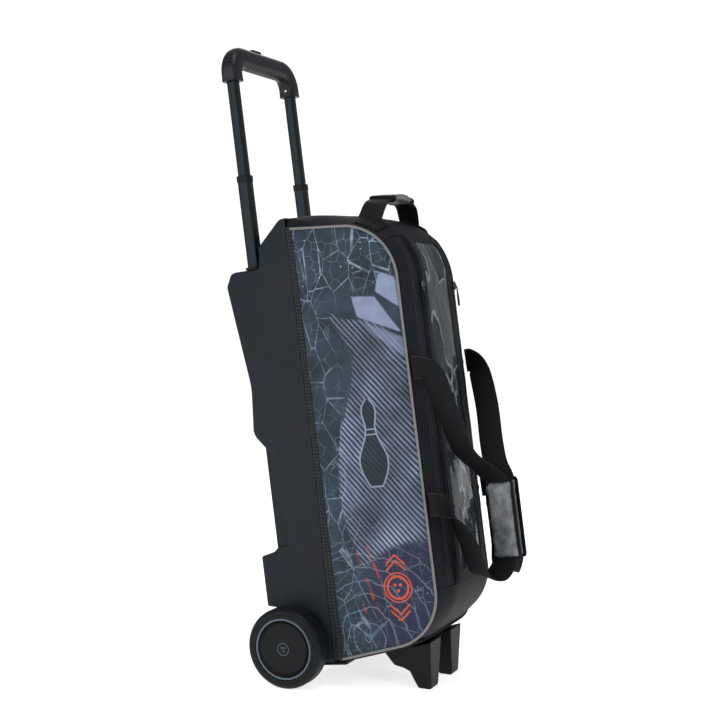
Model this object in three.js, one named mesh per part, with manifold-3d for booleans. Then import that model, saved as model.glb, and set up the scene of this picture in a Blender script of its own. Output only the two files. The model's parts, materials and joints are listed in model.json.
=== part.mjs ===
// A wheeled in-line bag for three bowling balls: a moulded rear shell with a telescoping handle,
// fabric sides and top, a zipped front lid, two carry straps, a grab handle, wheels and feet.
// Millimetres. +Z is up, -Y is the zipped front, +Y the handle side, X runs across the bag.
// The bag's own pieces are drawn in a frame through the axle that leans back by LEAN.
import * as THREE from "three";
import { mergeVertices } from "three/addons/utils/BufferGeometryUtils.js";
import Module from "manifold-3d";

const wasm = await Module();
wasm.setup();

// ---- driving dimensions --------------------------------------------------------------------------
const GAP = 0.3; // between touching pieces
const LEAN = THREE.MathUtils.degToRad(7.7); // how far the bag leans back on its wheels and feet

const BODY_HALF_WIDTH = 115; // outer face of the shell's side walls
const BODY_TOP = 650; // top seam line of the side panels, above the axle
const BODY_BOTTOM = -26.5; // bottom seam line at its back end
const BODY_FRONT = -251; // front seam line
const PANEL_BACK = -82; // back edge of the side panels
const TOP_FALL = 18; // how much the top seam drops towards the front
const BOTTOM_RISE = 30; // how much the bottom seam climbs towards the front
const TOP_CORNER_RADIUS = 90;
const BOTTOM_CORNER_RADIUS = 85;
const FABRIC = 3; // thickness of a padded fabric wall
const CROWN = 18; // how far the lid and top stand proud of the side seams
const BOTTOM_CROWN = 6;
const PIPING_RADIUS = 2.4;

const SHELL_WALL = 3;
const SHELL_EDGE_ROUND = 6;
const SHELL_FRONT_TOP = -72.5; // front edge of the shell's side wall, at the top
const SHELL_FRONT_BOTTOM = -64.5;
const SHELL_TOP = BODY_TOP + 19;
const SHELL_BOTTOM = -32;
const SHOULDER = BODY_TOP - 53; // shelf that the handle's tubes leave through
const SHOULDER_BACK = 46;
const TOP_BACK = -15; // back face above the shoulder
const WAIST_BACK = 24.5; // back face at its slimmest
const RECESS_BACK = -8.5; // back face inside the recess
const RECESS_LOW = 157;
const RECESS_HIGH = 300;
const HEEL_BACK = 43;
const HEEL_LOW = 60;

const LID_HALF_WIDTH = 62;
const LID_LOW = 76; // heights of the lid's hinge and of its top edge
const LID_HIGH = BODY_TOP - 42;
const SLIDER_HEIGHT = LID_HIGH - 73; // where the zip sliders are parked
const SLIDER_WIDTH = 8;
const SLIDER_LENGTH = 14;
const SLIDER_DEPTH = 4.5;
const PULL_WIDTH = 6;
const PULL_LENGTH = 34;
const PULL_THICK = 2;
const SEAM = 0.8; // slit between the lid and its neighbours

const BALL_DIAMETER = 216;
const BACK_BOARD_FACE = -25;
const CRADLE_DEPTH = 20;
const CRADLE_FLOOR = 8; // foam left under the ball
const CRADLE_GAP = 4;

const AXLE_RADIUS = 5;
const WHEEL_RADIUS = 63.5;
const WHEEL_WIDTH = 36;
const WHEEL_CENTRE = BODY_HALF_WIDTH + 23; // tyre's mid plane
const RIM_RADIUS = WHEEL_RADIUS - 15;
const CAP_RADIUS = RIM_RADIUS - 6.8;

const TUBE_X = BODY_HALF_WIDTH - 18;
const TUBE_WALL = 1.2;
const TUBE_PLAY = 0.4; // between one tube and the next
const INNER_TUBE = 16; // across the flats
const MIDDLE_TUBE = INNER_TUBE + 2 * (TUBE_WALL + TUBE_PLAY);
const OUTER_TUBE = MIDDLE_TUBE + 2 * (TUBE_WALL + TUBE_PLAY);
const OUTER_TUBE_LOW = 66;
const MIDDLE_TUBE_LENGTH = 380;
const INNER_TUBE_LENGTH = 400;
const BEZEL_HEIGHT = 4;
const BEZEL_WIDTH = MIDDLE_TUBE + 12.8;
const BEZEL_DEPTH = MIDDLE_TUBE + 2.3;
const TUBE_Y = TOP_BACK + 2.25 + BEZEL_DEPTH / 2;
const COLLAR_HEIGHT = 10;
const MIDDLE_TRAVEL = 137;
const INNER_TRAVEL = 152;
const SOCKET_DEPTH = 20; // how far the inner tube enters the grip

const GRIP_BAR = 34; // height of the grip's bar
const GRIP_DEPTH = INNER_TUBE + 14;
const GRIP_SOCKET = INNER_TUBE + 10; // width of a socket
const GRIP_RISE = 59; // from the socket's mouth to the top of the bar
const GRIP_OUTER_RADIUS = 42;
const BUTTON_WIDTH = 30;
const BUTTON_DEPTH = 13;
const BUTTON_PROUD = 3;
const BUTTON_X = -14;
const ROD_RADIUS = 2.5;
const ROD_LENGTH = 360;

const WEBBING = 38;
const WEBBING_THICK = 2.6;
const STRAP_ANCHOR_HIGH = 412;
const STRAP_ANCHOR_LOW = 204;
const STRAP_PAD_LOW = 100;
const STRAP_PAD_HIGH = 222;
const STRAP_PAD_X = 12;
const STRAP_PAD_Y = BODY_FRONT - 84;
const STRAP_PAD_THICK = 15;
const GRAB_HALF_SPAN = 76;
const GRAB_HEIGHT = 44;
const GRAB_PAD_HALF = 40;

const FOOT_X = 44.5;
const FOOT_SOLE = 24;
const FOOT_SOLE_HALF_WIDTH = 15;
const FOOT_TOP_HALF_WIDTH = 24;
const FOOT_Y = -199; // from the axle, along the floor

// ---- materials -----------------------------------------------------------------------------------
const finish = (color, roughness, metalness = 0) =>
  new THREE.MeshStandardMaterial({ color, roughness, metalness });
const SHELL_PLASTIC = finish(0x26282c, 0.7);
const BLACK_FABRIC = finish(0x15161a, 0.85);
const PRINTED_FABRIC = finish(0x3a4660, 0.55);
const PALE_PIPING = finish(0x9d9a97, 0.6);
const CLEAR_VINYL = finish(0x6f7680, 0.2);
const FOAM = finish(0x2b2d30, 0.95);
const BLACK_PLASTIC = finish(0x101114, 0.5);
const GREY_PLASTIC = finish(0x8b9097, 0.5);
const RUBBER = finish(0x0d0e10, 0.8);
const TUBE_METAL = finish(0x2a2c30, 0.35, 0.8);
const STEEL = finish(0xb0b2b5, 0.3, 1);
const SILVER_CLOTH = finish(0x9aa0a6, 0.35, 0.2);

// ---- geometry helpers ----------------------------------------------------------------------------
const vector = (x, y, z) => new THREE.Vector3(x, y, z);
const SIDES = [
  ["left", -1],
  ["right", 1],
];

// Rounds the corners of a closed outline. Each corner is [y, z, radius]. A positive inset moves
// the outline inwards; the number of points never changes, so two insets can be joined.
const CORNER_STEPS = 4;
function roundedOutline(corners, inset = 0) {
  const count = corners.length;
  const area = corners.reduce((sum, [y, z], i) => {
    const next = corners[(i + 1) % count];
    return sum + y * next[1] - next[0] * z;
  }, 0);
  const turn = Math.sign(area);
  const edges = corners.map(([y, z], i) => {
    const next = corners[(i + 1) % count];
    const along = new THREE.Vector2(next[0] - y, next[1] - z).normalize();
    const inward = new THREE.Vector2(-along.y * turn, along.x * turn);
    return { at: new THREE.Vector2(y, z).addScaledVector(inward, inset), along };
  });
  const points = [];
  corners.forEach(([, , radius], i) => {
    const before = edges[(i + count - 1) % count];
    const after = edges[i];
    const cross = before.along.cross(after.along);
    const shift = after.at.clone().sub(before.at).cross(after.along) / cross;
    const corner = before.at.clone().addScaledVector(before.along, shift);
    const convex = cross * turn > 0;
    const bend = Math.acos(THREE.MathUtils.clamp(before.along.dot(after.along), -1, 1));
    const round = Math.max(convex ? radius - inset : radius + inset, 0.3);
    const reach = round * Math.tan(bend / 2);
    const start = corner.clone().addScaledVector(before.along, -reach);
    const normal = new THREE.Vector2(-before.along.y, before.along.x);
    const centre = start.clone().addScaledVector(normal, round * Math.sign(cross));
    for (let k = 0; k <= CORNER_STEPS; k++) {
      const angle = (Math.sign(cross) * bend * k) / CORNER_STEPS;
      points.push(start.clone().rotateAround(centre, angle));
    }
  });
  return points;
}

// A closed body through rings of equal length; flat gives the rings' own outline in two numbers.
function loft(rings, flat) {
  const size = rings[0].length;
  const positions = rings.flat().flatMap((p) => [p.x, p.y, p.z]);
  const faces = [];
  for (let k = 0; k + 1 < rings.length; k++) {
    for (let i = 0; i < size; i++) {
      const a = k * size + i;
      const b = k * size + ((i + 1) % size);
      faces.push([a, b, b + size], [a, b + size, a + size]);
    }
  }
  const winding = Math.sign(THREE.ShapeUtils.area(flat));
  const last = (rings.length - 1) * size;
  for (const triangle of THREE.ShapeUtils.triangulateShape(flat, [])) {
    const own = Math.sign(THREE.ShapeUtils.area(triangle.map((i) => flat[i])));
    const [a, b, c] = own === winding ? triangle : [...triangle].reverse();
    faces.push([c, b, a], [a + last, b + last, c + last]);
  }
  const corner = (i) => vector(positions[3 * i], positions[3 * i + 1], positions[3 * i + 2]);
  const volume = faces.reduce((sum, [a, b, c]) => sum + corner(a).dot(corner(b).cross(corner(c))), 0);
  if (volume < 0) faces.forEach((face) => face.reverse());
  const geometry = new THREE.BufferGeometry();
  geometry.setAttribute("position", new THREE.Float32BufferAttribute(positions, 3));
  geometry.setIndex(faces.flat());
  return geometry;
}

const prism = (outline, x0, x1) =>
  loft([x0, x1].map((x) => outline.map((p) => vector(x, p.x, p.y))), outline);

function block(x0, x1, y0, y1, z0, z1) {
  const geometry = new THREE.BoxGeometry(Math.abs(x1 - x0), Math.abs(y1 - y0), Math.abs(z1 - z0));
  return geometry.translate((x0 + x1) / 2, (y0 + y1) / 2, (z0 + z1) / 2);
}

// A square bar with rounded corners that stands on z0.
function squareBar(x, y, width, depth, z0, z1, round) {
  const corners = [
    [x - width / 2, y - depth / 2, round],
    [x + width / 2, y - depth / 2, round],
    [x + width / 2, y + depth / 2, round],
    [x - width / 2, y + depth / 2, round],
  ];
  const outline = roundedOutline(corners);
  return loft([z0, z1].map((z) => outline.map((p) => vector(p.x, p.y, z))), outline);
}

const rod = (radius, length, sides = 24) => new THREE.CylinderGeometry(radius, radius, length, sides);

// A turned body about X from a closed profile of [x, radius] points.
function turned(profile, sides) {
  const points = profile.map(([x, radius]) => new THREE.Vector2(radius, x));
  if (THREE.ShapeUtils.area(points) < 0) points.reverse();
  points.push(points[0].clone());
  return new THREE.LatheGeometry(points, sides).rotateZ(-Math.PI / 2);
}

function solid(geometry) {
  const bare = geometry.clone();
  bare.deleteAttribute("normal");
  bare.deleteAttribute("uv");
  const merged = mergeVertices(bare, 1e-3);
  const vertProperties = new Float32Array(merged.attributes.position.array);
  const mesh = new wasm.Mesh({
    numProp: 3,
    vertProperties,
    triVerts: new Uint32Array(merged.index.array),
  });
  const made = new wasm.Manifold(mesh);
  if (made.volume() > 0) return made;
  const flipped = new Uint32Array(merged.index.array).reverse();
  return new wasm.Manifold(new wasm.Mesh({ numProp: 3, vertProperties, triVerts: flipped }));
}

function geometryOf(body) {
  const mesh = body.getMesh();
  const geometry = new THREE.BufferGeometry();
  geometry.setAttribute("position", new THREE.BufferAttribute(mesh.vertProperties.slice(), 3));
  geometry.setIndex(new THREE.BufferAttribute(mesh.triVerts.slice(), 1));
  return geometry;
}

const cut = (geometry, ...tools) =>
  geometryOf(tools.reduce((body, tool) => body.subtract(solid(tool)), solid(geometry)));
const join = (geometry, ...more) =>
  geometryOf(more.reduce((body, piece) => body.add(solid(piece)), solid(geometry)));

// A flat band of webbing: a list of [centre, width direction] swept as one closed body.
function band(stations, width, thickness, steps) {
  const centres = new THREE.CatmullRomCurve3(stations.map(([at]) => at), false, "centripetal");
  const across = new THREE.CatmullRomCurve3(stations.map(([, wide]) => wide));
  const flat = [
    [-1, -1],
    [1, -1],
    [1, 1],
    [-1, 1],
  ].map(([u, v]) => new THREE.Vector2((u * width) / 2, (v * thickness) / 2));
  const rings = [];
  for (let k = 0; k <= steps; k++) {
    const t = k / steps;
    const along = centres.getTangent(t);
    const wide = across.getPoint(t);
    wide.addScaledVector(along, -wide.dot(along)).normalize();
    const out = along.clone().cross(wide);
    const at = centres.getPoint(t);
    rings.push(flat.map((p) => at.clone().addScaledVector(wide, p.x).addScaledVector(out, p.y)));
  }
  return loft(rings, flat);
}

const bag = new THREE.Group();
function add(name, geometry, material, group = bag) {
  geometry.computeVertexNormals();
  const mesh = new THREE.Mesh(geometry, material);
  mesh.name = name;
  group.add(mesh);
  return mesh;
}

// ---- the bag's side outline and the crowned skin on it -------------------------------------------
const panelCorners = [
  [PANEL_BACK, BODY_TOP, 1],
  [BODY_FRONT, BODY_TOP - TOP_FALL, TOP_CORNER_RADIUS],
  [BODY_FRONT, BODY_BOTTOM + BOTTOM_RISE, BOTTOM_CORNER_RADIUS],
  [PANEL_BACK, BODY_BOTTOM, 1],
];

// The seam line from the top's back end round the front to the bottom's back end. Straight
// stretches are split so that every piece bends where its neighbour does.
const STRAIGHT_STEPS = 8;
function seamLine(inset) {
  const outline = roundedOutline(panelCorners, inset);
  const per = CORNER_STEPS + 1;
  const top = outline.slice(per, 2 * per);
  const bottom = outline.slice(2 * per, 3 * per);
  const backEnd = (near, far) => near.clone().lerp(far, (PANEL_BACK - near.x) / (far.x - near.x));
  const run = [backEnd(top[0], outline[CORNER_STEPS]), ...top];
  for (let k = 1; k < STRAIGHT_STEPS; k++) {
    run.push(top[CORNER_STEPS].clone().lerp(bottom[0], k / STRAIGHT_STEPS));
  }
  run.push(...bottom, backEnd(bottom[CORNER_STEPS], outline[3 * per]));
  return run;
}
const plainSeam = seamLine(0);

// Place along the seam line, as a fractional index, where it passes a height on the front.
function placeAtHeight(height) {
  const k = plainSeam.findIndex((p, i) => i + 1 < plainSeam.length && plainSeam[i + 1].y < height);
  return k + (plainSeam[k].y - height) / (plainSeam[k].y - plainSeam[k + 1].y);
}
const LID_START = placeAtHeight(LID_HIGH);
const LID_END = placeAtHeight(LID_LOW);
const seamEnd = plainSeam.length - 1;
const BOTTOM_START = seamEnd - 2; // the tray starts inside the bottom's front corner

// How far the skin stands proud: full over the lid's width, falling to nothing at the seams.
function crown(x, place) {
  const edge = BODY_HALF_WIDTH - FABRIC;
  const beyond = Math.max(Math.abs(x) - LID_HALF_WIDTH, 0) / (edge - LID_HALF_WIDTH);
  const low = THREE.MathUtils.smoothstep(place, LID_END, BOTTOM_START);
  return THREE.MathUtils.lerp(CROWN, BOTTOM_CROWN, low) * (1 - beyond * beyond);
}

function seamPoint(inset, place) {
  const line = seamLine(inset);
  const k = THREE.MathUtils.clamp(Math.floor(place), 0, seamEnd - 1);
  return line[k].clone().lerp(line[k + 1], place - k);
}

// A stretch of the crowned skin between two places along the seam and two widths.
function skin(x0, x1, from, to, outside, thickness, steps = 6) {
  const places = [from];
  for (let k = Math.floor(from) + 1; k < to; k++) places.push(k);
  places.push(to);
  const widths = Array.from({ length: steps + 1 }, (_, j) => x0 + ((x1 - x0) * j) / steps);
  const rings = places.map((place) => {
    const point = (x, depth) => {
      const p = seamPoint(depth - crown(x, place) - outside, place);
      return vector(x, p.x, p.y);
    };
    const outer = widths.map((x) => point(x, 0));
    const inner = widths.map((x) => point(x, thickness)).reverse();
    return [...outer, ...inner];
  });
  const flat = [
    ...widths.map((x) => new THREE.Vector2(x, 0)),
    ...widths.map((x) => new THREE.Vector2(x, thickness)).reverse(),
  ];
  return loft(rings, flat);
}

// ---- rear shell ----------------------------------------------------------------------------------
const FRONT_CUT = 24; // length of shell beyond its front edge, cut away after rounding
const shellCorners = [
  [SHELL_FRONT_TOP - FRONT_CUT, SHELL_BOTTOM, 2],
  [WAIST_BACK, SHELL_BOTTOM, 20],
  [WAIST_BACK, HEEL_LOW - 3, 1.5],
  [HEEL_BACK, HEEL_LOW, 4],
  [HEEL_BACK, RECESS_LOW - 16, 4],
  [WAIST_BACK - 1, RECESS_LOW - 14, 4],
  [WAIST_BACK - 16, RECESS_LOW - 1, 5],
  [RECESS_BACK, RECESS_LOW, 4],
  [RECESS_BACK + 1.5, RECESS_HIGH - 10, 16],
  [WAIST_BACK + 3, RECESS_HIGH + 31, 8],
  [WAIST_BACK + 6, RECESS_HIGH + 41, 6],
  [WAIST_BACK, SHOULDER - 187, 120],
  [SHOULDER_BACK + 1, SHOULDER - 22, 14],
  [SHOULDER_BACK - 10, SHOULDER, 12],
  [TOP_BACK, SHOULDER, 4],
  [TOP_BACK - 3.5, SHOULDER + 20, 8],
  [TOP_BACK - 3.5, SHOULDER + 33, 4],
  [-62, SHELL_TOP, 14],
  [SHELL_FRONT_TOP - FRONT_CUT, SHELL_TOP, 2],
];

function shellBody() {
  const rounding = [0, 0.25, 0.6, 1];
  const rings = [];
  const ring = (inset, x) => roundedOutline(shellCorners, inset).map((p) => vector(x, p.x, p.y));
  for (const t of rounding) {
    const inset = SHELL_EDGE_ROUND * (1 - Math.sqrt(1 - (1 - t) * (1 - t)));
    rings.push(ring(inset, -BODY_HALF_WIDTH + t * SHELL_EDGE_ROUND));
  }
  const mirrored = [...rings].reverse().map((points) => points.map((p) => vector(-p.x, p.y, p.z)));
  return loft([...rings, ...mirrored], roundedOutline(shellCorners, SHELL_EDGE_ROUND));
}

const CHANNEL_WALL = 2.4;
const channelBack = TUBE_Y + OUTER_TUBE / 2 + GAP;
const channelHalf = OUTER_TUBE / 2 + GAP;
// A tube's cover across the recess. The hollow, with no growth, also opens the recess wall.
const channel = (side, grow, low, high) =>
  block(
    side * (TUBE_X - channelHalf - grow),
    side * (TUBE_X + channelHalf + grow),
    RECESS_BACK - SHELL_WALL + 1 - 3 * (SHELL_WALL - grow),
    channelBack + grow,
    low,
    high,
  );

// The front edge of the shell's side walls slants below this height.
const SHELL_FRONT_BEND = SHELL_TOP * 0.4;
function shellFront(height) {
  const t = THREE.MathUtils.clamp((height - SHELL_BOTTOM) / (SHELL_FRONT_BEND - SHELL_BOTTOM), 0, 1);
  return THREE.MathUtils.lerp(SHELL_FRONT_BOTTOM, SHELL_FRONT_TOP, t);
}
const axleBore = rod(AXLE_RADIUS + GAP, 4 * BODY_HALF_WIDTH).rotateZ(Math.PI / 2);
const frontCut = prism(
  [
    new THREE.Vector2(SHELL_FRONT_TOP - 3 * FRONT_CUT, SHELL_BOTTOM - 10),
    new THREE.Vector2(SHELL_FRONT_BOTTOM, SHELL_BOTTOM - 10),
    new THREE.Vector2(SHELL_FRONT_BOTTOM, SHELL_BOTTOM),
    new THREE.Vector2(SHELL_FRONT_TOP, SHELL_FRONT_BEND),
    new THREE.Vector2(SHELL_FRONT_TOP, SHELL_TOP + 10),
    new THREE.Vector2(SHELL_FRONT_TOP - 3 * FRONT_CUT, SHELL_TOP + 10),
  ],
  -BODY_HALF_WIDTH - 10,
  BODY_HALF_WIDTH + 10,
);
const cavityHalf = BODY_HALF_WIDTH - SHELL_WALL;
const cavity = prism(
  roundedOutline(
    shellCorners.map(([y, z, r]) => [y < SHELL_FRONT_TOP ? y - 2 * FRONT_CUT : y, z, r]),
    SHELL_WALL,
  ),
  -cavityHalf,
  cavityHalf,
);
const BACK_PANEL_HALF = 58; // half width of the shallow panel pressed into the back
const backPanel = prism(
  roundedOutline([
    [WAIST_BACK - 2, SHOULDER - 240, 8],
    [SHOULDER_BACK + 20, SHOULDER - 240, 2],
    [SHOULDER_BACK + 20, SHOULDER - 50, 2],
    [WAIST_BACK + 4, SHOULDER - 50, 10],
  ]),
  -BACK_PANEL_HALF,
  BACK_PANEL_HALF,
);
const tubeHoles = SIDES.map(([, side]) =>
  squareBar(
    side * TUBE_X,
    TUBE_Y,
    MIDDLE_TUBE + 2 * TUBE_PLAY,
    MIDDLE_TUBE + 2 * TUBE_PLAY,
    SHOULDER - 30,
    SHOULDER + 12,
    2.5,
  ),
);
const shellWithChannels = join(
  cut(shellBody(), cavity),
  ...SIDES.map(([, side]) => channel(side, CHANNEL_WALL, RECESS_LOW - 4, RECESS_HIGH + 30)),
);
add(
  "rear_shell",
  cut(
    shellWithChannels,
    frontCut,
    axleBore,
    ...tubeHoles,
    ...SIDES.map(([, side]) => channel(side, 0, RECESS_LOW - 12, RECESS_HIGH + 40)),
  ),
  SHELL_PLASTIC,
);

// ---- inside: back board, ball cradles, axle ------------------------------------------------------
const innerHalf = BODY_HALF_WIDTH - FABRIC - GAP;
const BOARD = 3;
const BOARD_TOP = SHOULDER + 25;
const HOLD_BOTTOM = BODY_BOTTOM + 4;
const HOLD_TOP = BODY_TOP - 2;
add(
  "back_board",
  block(
    -innerHalf + GAP,
    innerHalf - GAP,
    BACK_BOARD_FACE,
    BACK_BOARD_FACE + BOARD,
    HOLD_BOTTOM,
    BOARD_TOP,
  ),
  BLACK_PLASTIC,
);

const CRADLES = ["low", "middle", "high"];
const cradlePitch = (HOLD_TOP - HOLD_BOTTOM) / CRADLES.length;
const ballCentre = (k) => HOLD_BOTTOM + cradlePitch * (k + 0.5);
const cradleFace = BACK_BOARD_FACE - GAP - CRADLE_DEPTH;
CRADLES.forEach((name, k) => {
  const half = (cradlePitch - CRADLE_GAP) / 2;
  const foam = block(
    -innerHalf + 2,
    innerHalf - 2,
    cradleFace,
    BACK_BOARD_FACE - GAP,
    ballCentre(k) - half,
    Math.min(ballCentre(k) + half, BOARD_TOP),
  );
  const seat = BALL_DIAMETER / 2 + 1;
  const ball = new THREE.SphereGeometry(seat, 28, 18);
  ball.rotateX(Math.PI / 2);
  ball.translate(0, BACK_BOARD_FACE - GAP - CRADLE_FLOOR - seat, ballCentre(k));
  add("ball_cradle_" + name, cut(foam, ball), FOAM);
});

const AXLE_END = WHEEL_CENTRE + WHEEL_WIDTH / 2 - 4;
add("axle", rod(AXLE_RADIUS, 2 * AXLE_END, 32).rotateZ(Math.PI / 2), STEEL);

const AXLE_BLOCK = 26;
for (const [name, side] of SIDES) {
  const inner = cavityHalf - GAP;
  const body = block(
    side * (inner - AXLE_BLOCK),
    side * inner,
    -AXLE_BLOCK / 2 - 4,
    AXLE_BLOCK / 2 - 2,
    SHELL_BOTTOM + SHELL_WALL + 6,
    AXLE_BLOCK / 2 + 4,
  );
  add("axle_block_" + name, cut(body, axleBore), BLACK_PLASTIC);
}

// ---- fabric body ---------------------------------------------------------------------------------
const panelOutline = roundedOutline(panelCorners, PIPING_RADIUS + 4 * GAP);
for (const [name, side] of SIDES) {
  const outer = side * BODY_HALF_WIDTH;
  add("side_panel_" + name, prism(panelOutline, outer - side * FABRIC, outer), PRINTED_FABRIC);

  const seam = seamLine(0).map((p) => vector(outer, p.x, p.y));
  const path = new THREE.CatmullRomCurve3(seam, false, "centripetal");
  const section = new THREE.Shape().absarc(0, 0, PIPING_RADIUS, 0, 2 * Math.PI);
  const piping = new THREE.ExtrudeGeometry(section, {
    steps: 40,
    curveSegments: 4,
    bevelEnabled: false,
    extrudePath: path,
  });
  add("piping_" + name, piping, PALE_PIPING);

  const binding = prism(
    [
      new THREE.Vector2(PANEL_BACK + PIPING_RADIUS + GAP, BODY_TOP + 2),
      new THREE.Vector2(PANEL_BACK + PIPING_RADIUS + GAP, BODY_BOTTOM - 2),
      new THREE.Vector2(shellFront(BODY_BOTTOM - 2) - GAP, BODY_BOTTOM - 2),
      new THREE.Vector2(SHELL_FRONT_TOP - GAP, SHELL_FRONT_BEND),
      new THREE.Vector2(SHELL_FRONT_TOP - GAP, BODY_TOP + 2),
    ],
    outer - side * FABRIC,
    outer,
  );
  add("binding_" + name, binding, BLACK_FABRIC);
}

const skinHalf = BODY_HALF_WIDTH - FABRIC - GAP;
// The top runs on past the side panels to the shell's front edge.
const topReach = (SHELL_FRONT_TOP - PANEL_BACK - 3 * GAP) / (plainSeam[0].x - plainSeam[1].x);
add(
  "top_panel",
  skin(-skinHalf, skinHalf, -topReach, LID_START - SEAM / 20, 0, FABRIC, 13),
  BLACK_FABRIC,
);
add("bottom_panel", skin(-skinHalf, skinHalf, LID_END, seamEnd, 0, FABRIC, 13), BLACK_FABRIC);

const TRAY = 4;
const trayHalf = BODY_HALF_WIDTH - 6;
const trayTop = seamPoint(-BOTTOM_CROWN - GAP, seamEnd).y;
const trayEnd = SHELL_BOTTOM - GAP;
const tray = skin(-trayHalf, trayHalf, BOTTOM_START, seamEnd, GAP + TRAY, TRAY, 14);
const trayHeel = block(
  -trayHalf,
  trayHalf,
  PANEL_BACK - 2,
  WAIST_BACK - 26,
  Math.min(trayEnd, trayTop) - TRAY,
  Math.min(trayEnd, trayTop),
);
add("base_tray", join(tray, trayHeel), BLACK_PLASTIC);

// ---- front lid -----------------------------------------------------------------------------------
const frontPieces = new THREE.Group();
bag.add(frontPieces);
const lidTop = LID_START + SEAM / 20;
const lidFoot = LID_END - SEAM / 40;
add(
  "front_lid",
  skin(-LID_HALF_WIDTH, LID_HALF_WIDTH, lidTop, lidFoot, 0, FABRIC, 4),
  BLACK_FABRIC,
  frontPieces,
);

const WINDOW_HALF = 46;
const WINDOW_THICK = 1;
add(
  "lid_window",
  skin(-WINDOW_HALF, WINDOW_HALF, lidTop + 0.4, lidFoot - 0.6, GAP + WINDOW_THICK, WINDOW_THICK, 4),
  CLEAR_VINYL,
  frontPieces,
);

const GUSSET_EDGE = 2.5; // kept clear of the side seam so that the gusset can turn
const ZIP_HALF = 4;
const ZIP_PROUD = 1.6;
const zipX = LID_HALF_WIDTH + SEAM + ZIP_HALF;
for (const [name, side] of SIDES) {
  const inner = LID_HALF_WIDTH + SEAM;
  add(
    "gusset_" + name,
    skin(side * inner, side * (skinHalf - GUSSET_EDGE), lidTop, lidFoot, 0, FABRIC, 5),
    BLACK_FABRIC,
    frontPieces,
  );
  add(
    "zip_" + name,
    skin(
      side * inner,
      side * (inner + 2 * ZIP_HALF),
      lidTop + 0.2,
      lidFoot - 0.2,
      GAP + ZIP_PROUD,
      ZIP_PROUD,
      1,
    ),
    BLACK_FABRIC,
    frontPieces,
  );

  const station = seamPoint(-CROWN - 2 * GAP - ZIP_PROUD, placeAtHeight(SLIDER_HEIGHT));
  const slider = block(
    side * (zipX - SLIDER_WIDTH / 2),
    side * (zipX + SLIDER_WIDTH / 2),
    -SLIDER_DEPTH,
    0,
    -SLIDER_LENGTH / 2,
    SLIDER_LENGTH / 2,
  );
  slider.translate(0, station.x, station.y);
  add("zip_slider_" + name, slider, STEEL, frontPieces);
  const pull = block(
    side * (zipX - PULL_WIDTH / 2),
    side * (zipX + PULL_WIDTH / 2),
    -PULL_THICK,
    0,
    -PULL_LENGTH,
    0,
  );
  pull.translate(0, station.x - SLIDER_DEPTH - GAP, station.y);
  add("zip_pull_" + name, pull, BLACK_FABRIC, frontPieces);
}

// ---- carry straps and the grab handle ------------------------------------------------------------
const upright = vector(0, 0, 1);
const forward = vector(0, -1, 0);
for (const [name, side] of SIDES) {
  const at = (x, y, z) => vector(side * x, y, z);
  const anchorX = BODY_HALF_WIDTH + 1;
  const anchorY = BODY_FRONT - 7;
  const padMiddle = (STRAP_PAD_HIGH + STRAP_PAD_LOW) / 2;
  const stations = [
    [at(anchorX, anchorY, STRAP_ANCHOR_HIGH), upright],
    [at(anchorX - 3, anchorY - 8, STRAP_ANCHOR_HIGH), upright],
    [at(anchorX - 13, anchorY - 23, STRAP_ANCHOR_HIGH - 12), at(0.1, -0.35, 1)],
    [at(anchorX - 28, anchorY - 37, STRAP_ANCHOR_HIGH - 72), at(0.2, -1, 0.25)],
    [at(anchorX - 52, anchorY - 46, STRAP_ANCHOR_HIGH - 136), at(0.2, -1, 0)],
    [at(anchorX - 88, anchorY - 62, STRAP_PAD_HIGH + 20), at(0.1, -1, 0)],
    [at(STRAP_PAD_X, STRAP_PAD_Y, STRAP_PAD_HIGH - 6), forward],
    [at(STRAP_PAD_X, STRAP_PAD_Y, padMiddle), forward],
    [at(STRAP_PAD_X, STRAP_PAD_Y, STRAP_PAD_LOW + 6), forward],
    [at(STRAP_PAD_X + 14, STRAP_PAD_Y + 16, STRAP_PAD_LOW - 22), at(0, -1, -0.2)],
    [at(STRAP_PAD_X + 40, anchorY - 46, STRAP_PAD_LOW - 16), at(0.1, -1, -0.4)],
    [at(anchorX - 32, anchorY - 40, STRAP_ANCHOR_LOW - 58), at(0.2, -1, -0.5)],
    [at(anchorX - 12, anchorY - 20, STRAP_ANCHOR_LOW - 8), at(0.1, -0.4, -1)],
    [at(anchorX - 3, anchorY - 8, STRAP_ANCHOR_LOW), at(0, 0, -1)],
    [at(anchorX, anchorY, STRAP_ANCHOR_LOW), at(0, 0, -1)],
  ];
  add("carry_strap_" + name, band(stations, WEBBING, WEBBING_THICK, 40), BLACK_FABRIC, frontPieces);

  const half = STRAP_PAD_THICK / 2;
  const corners = [
    [side * STRAP_PAD_X - half, STRAP_PAD_Y - WEBBING / 2 - 4, 5],
    [side * STRAP_PAD_X + half, STRAP_PAD_Y - WEBBING / 2 - 4, 5],
    [side * STRAP_PAD_X + half, STRAP_PAD_Y + WEBBING / 2 + 4, 5],
    [side * STRAP_PAD_X - half, STRAP_PAD_Y + WEBBING / 2 + 4, 5],
  ];
  const outline = roundedOutline(corners);
  const pad = loft(
    [STRAP_PAD_LOW, STRAP_PAD_HIGH].map((z) => outline.map((p) => vector(p.x, p.y, z))),
    outline,
  );
  const slot = band(stations, WEBBING + 2 * GAP, WEBBING_THICK + 2 * GAP, 40);
  add("strap_pad_" + name, cut(pad, slot), SILVER_CLOTH, frontPieces);
}

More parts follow.
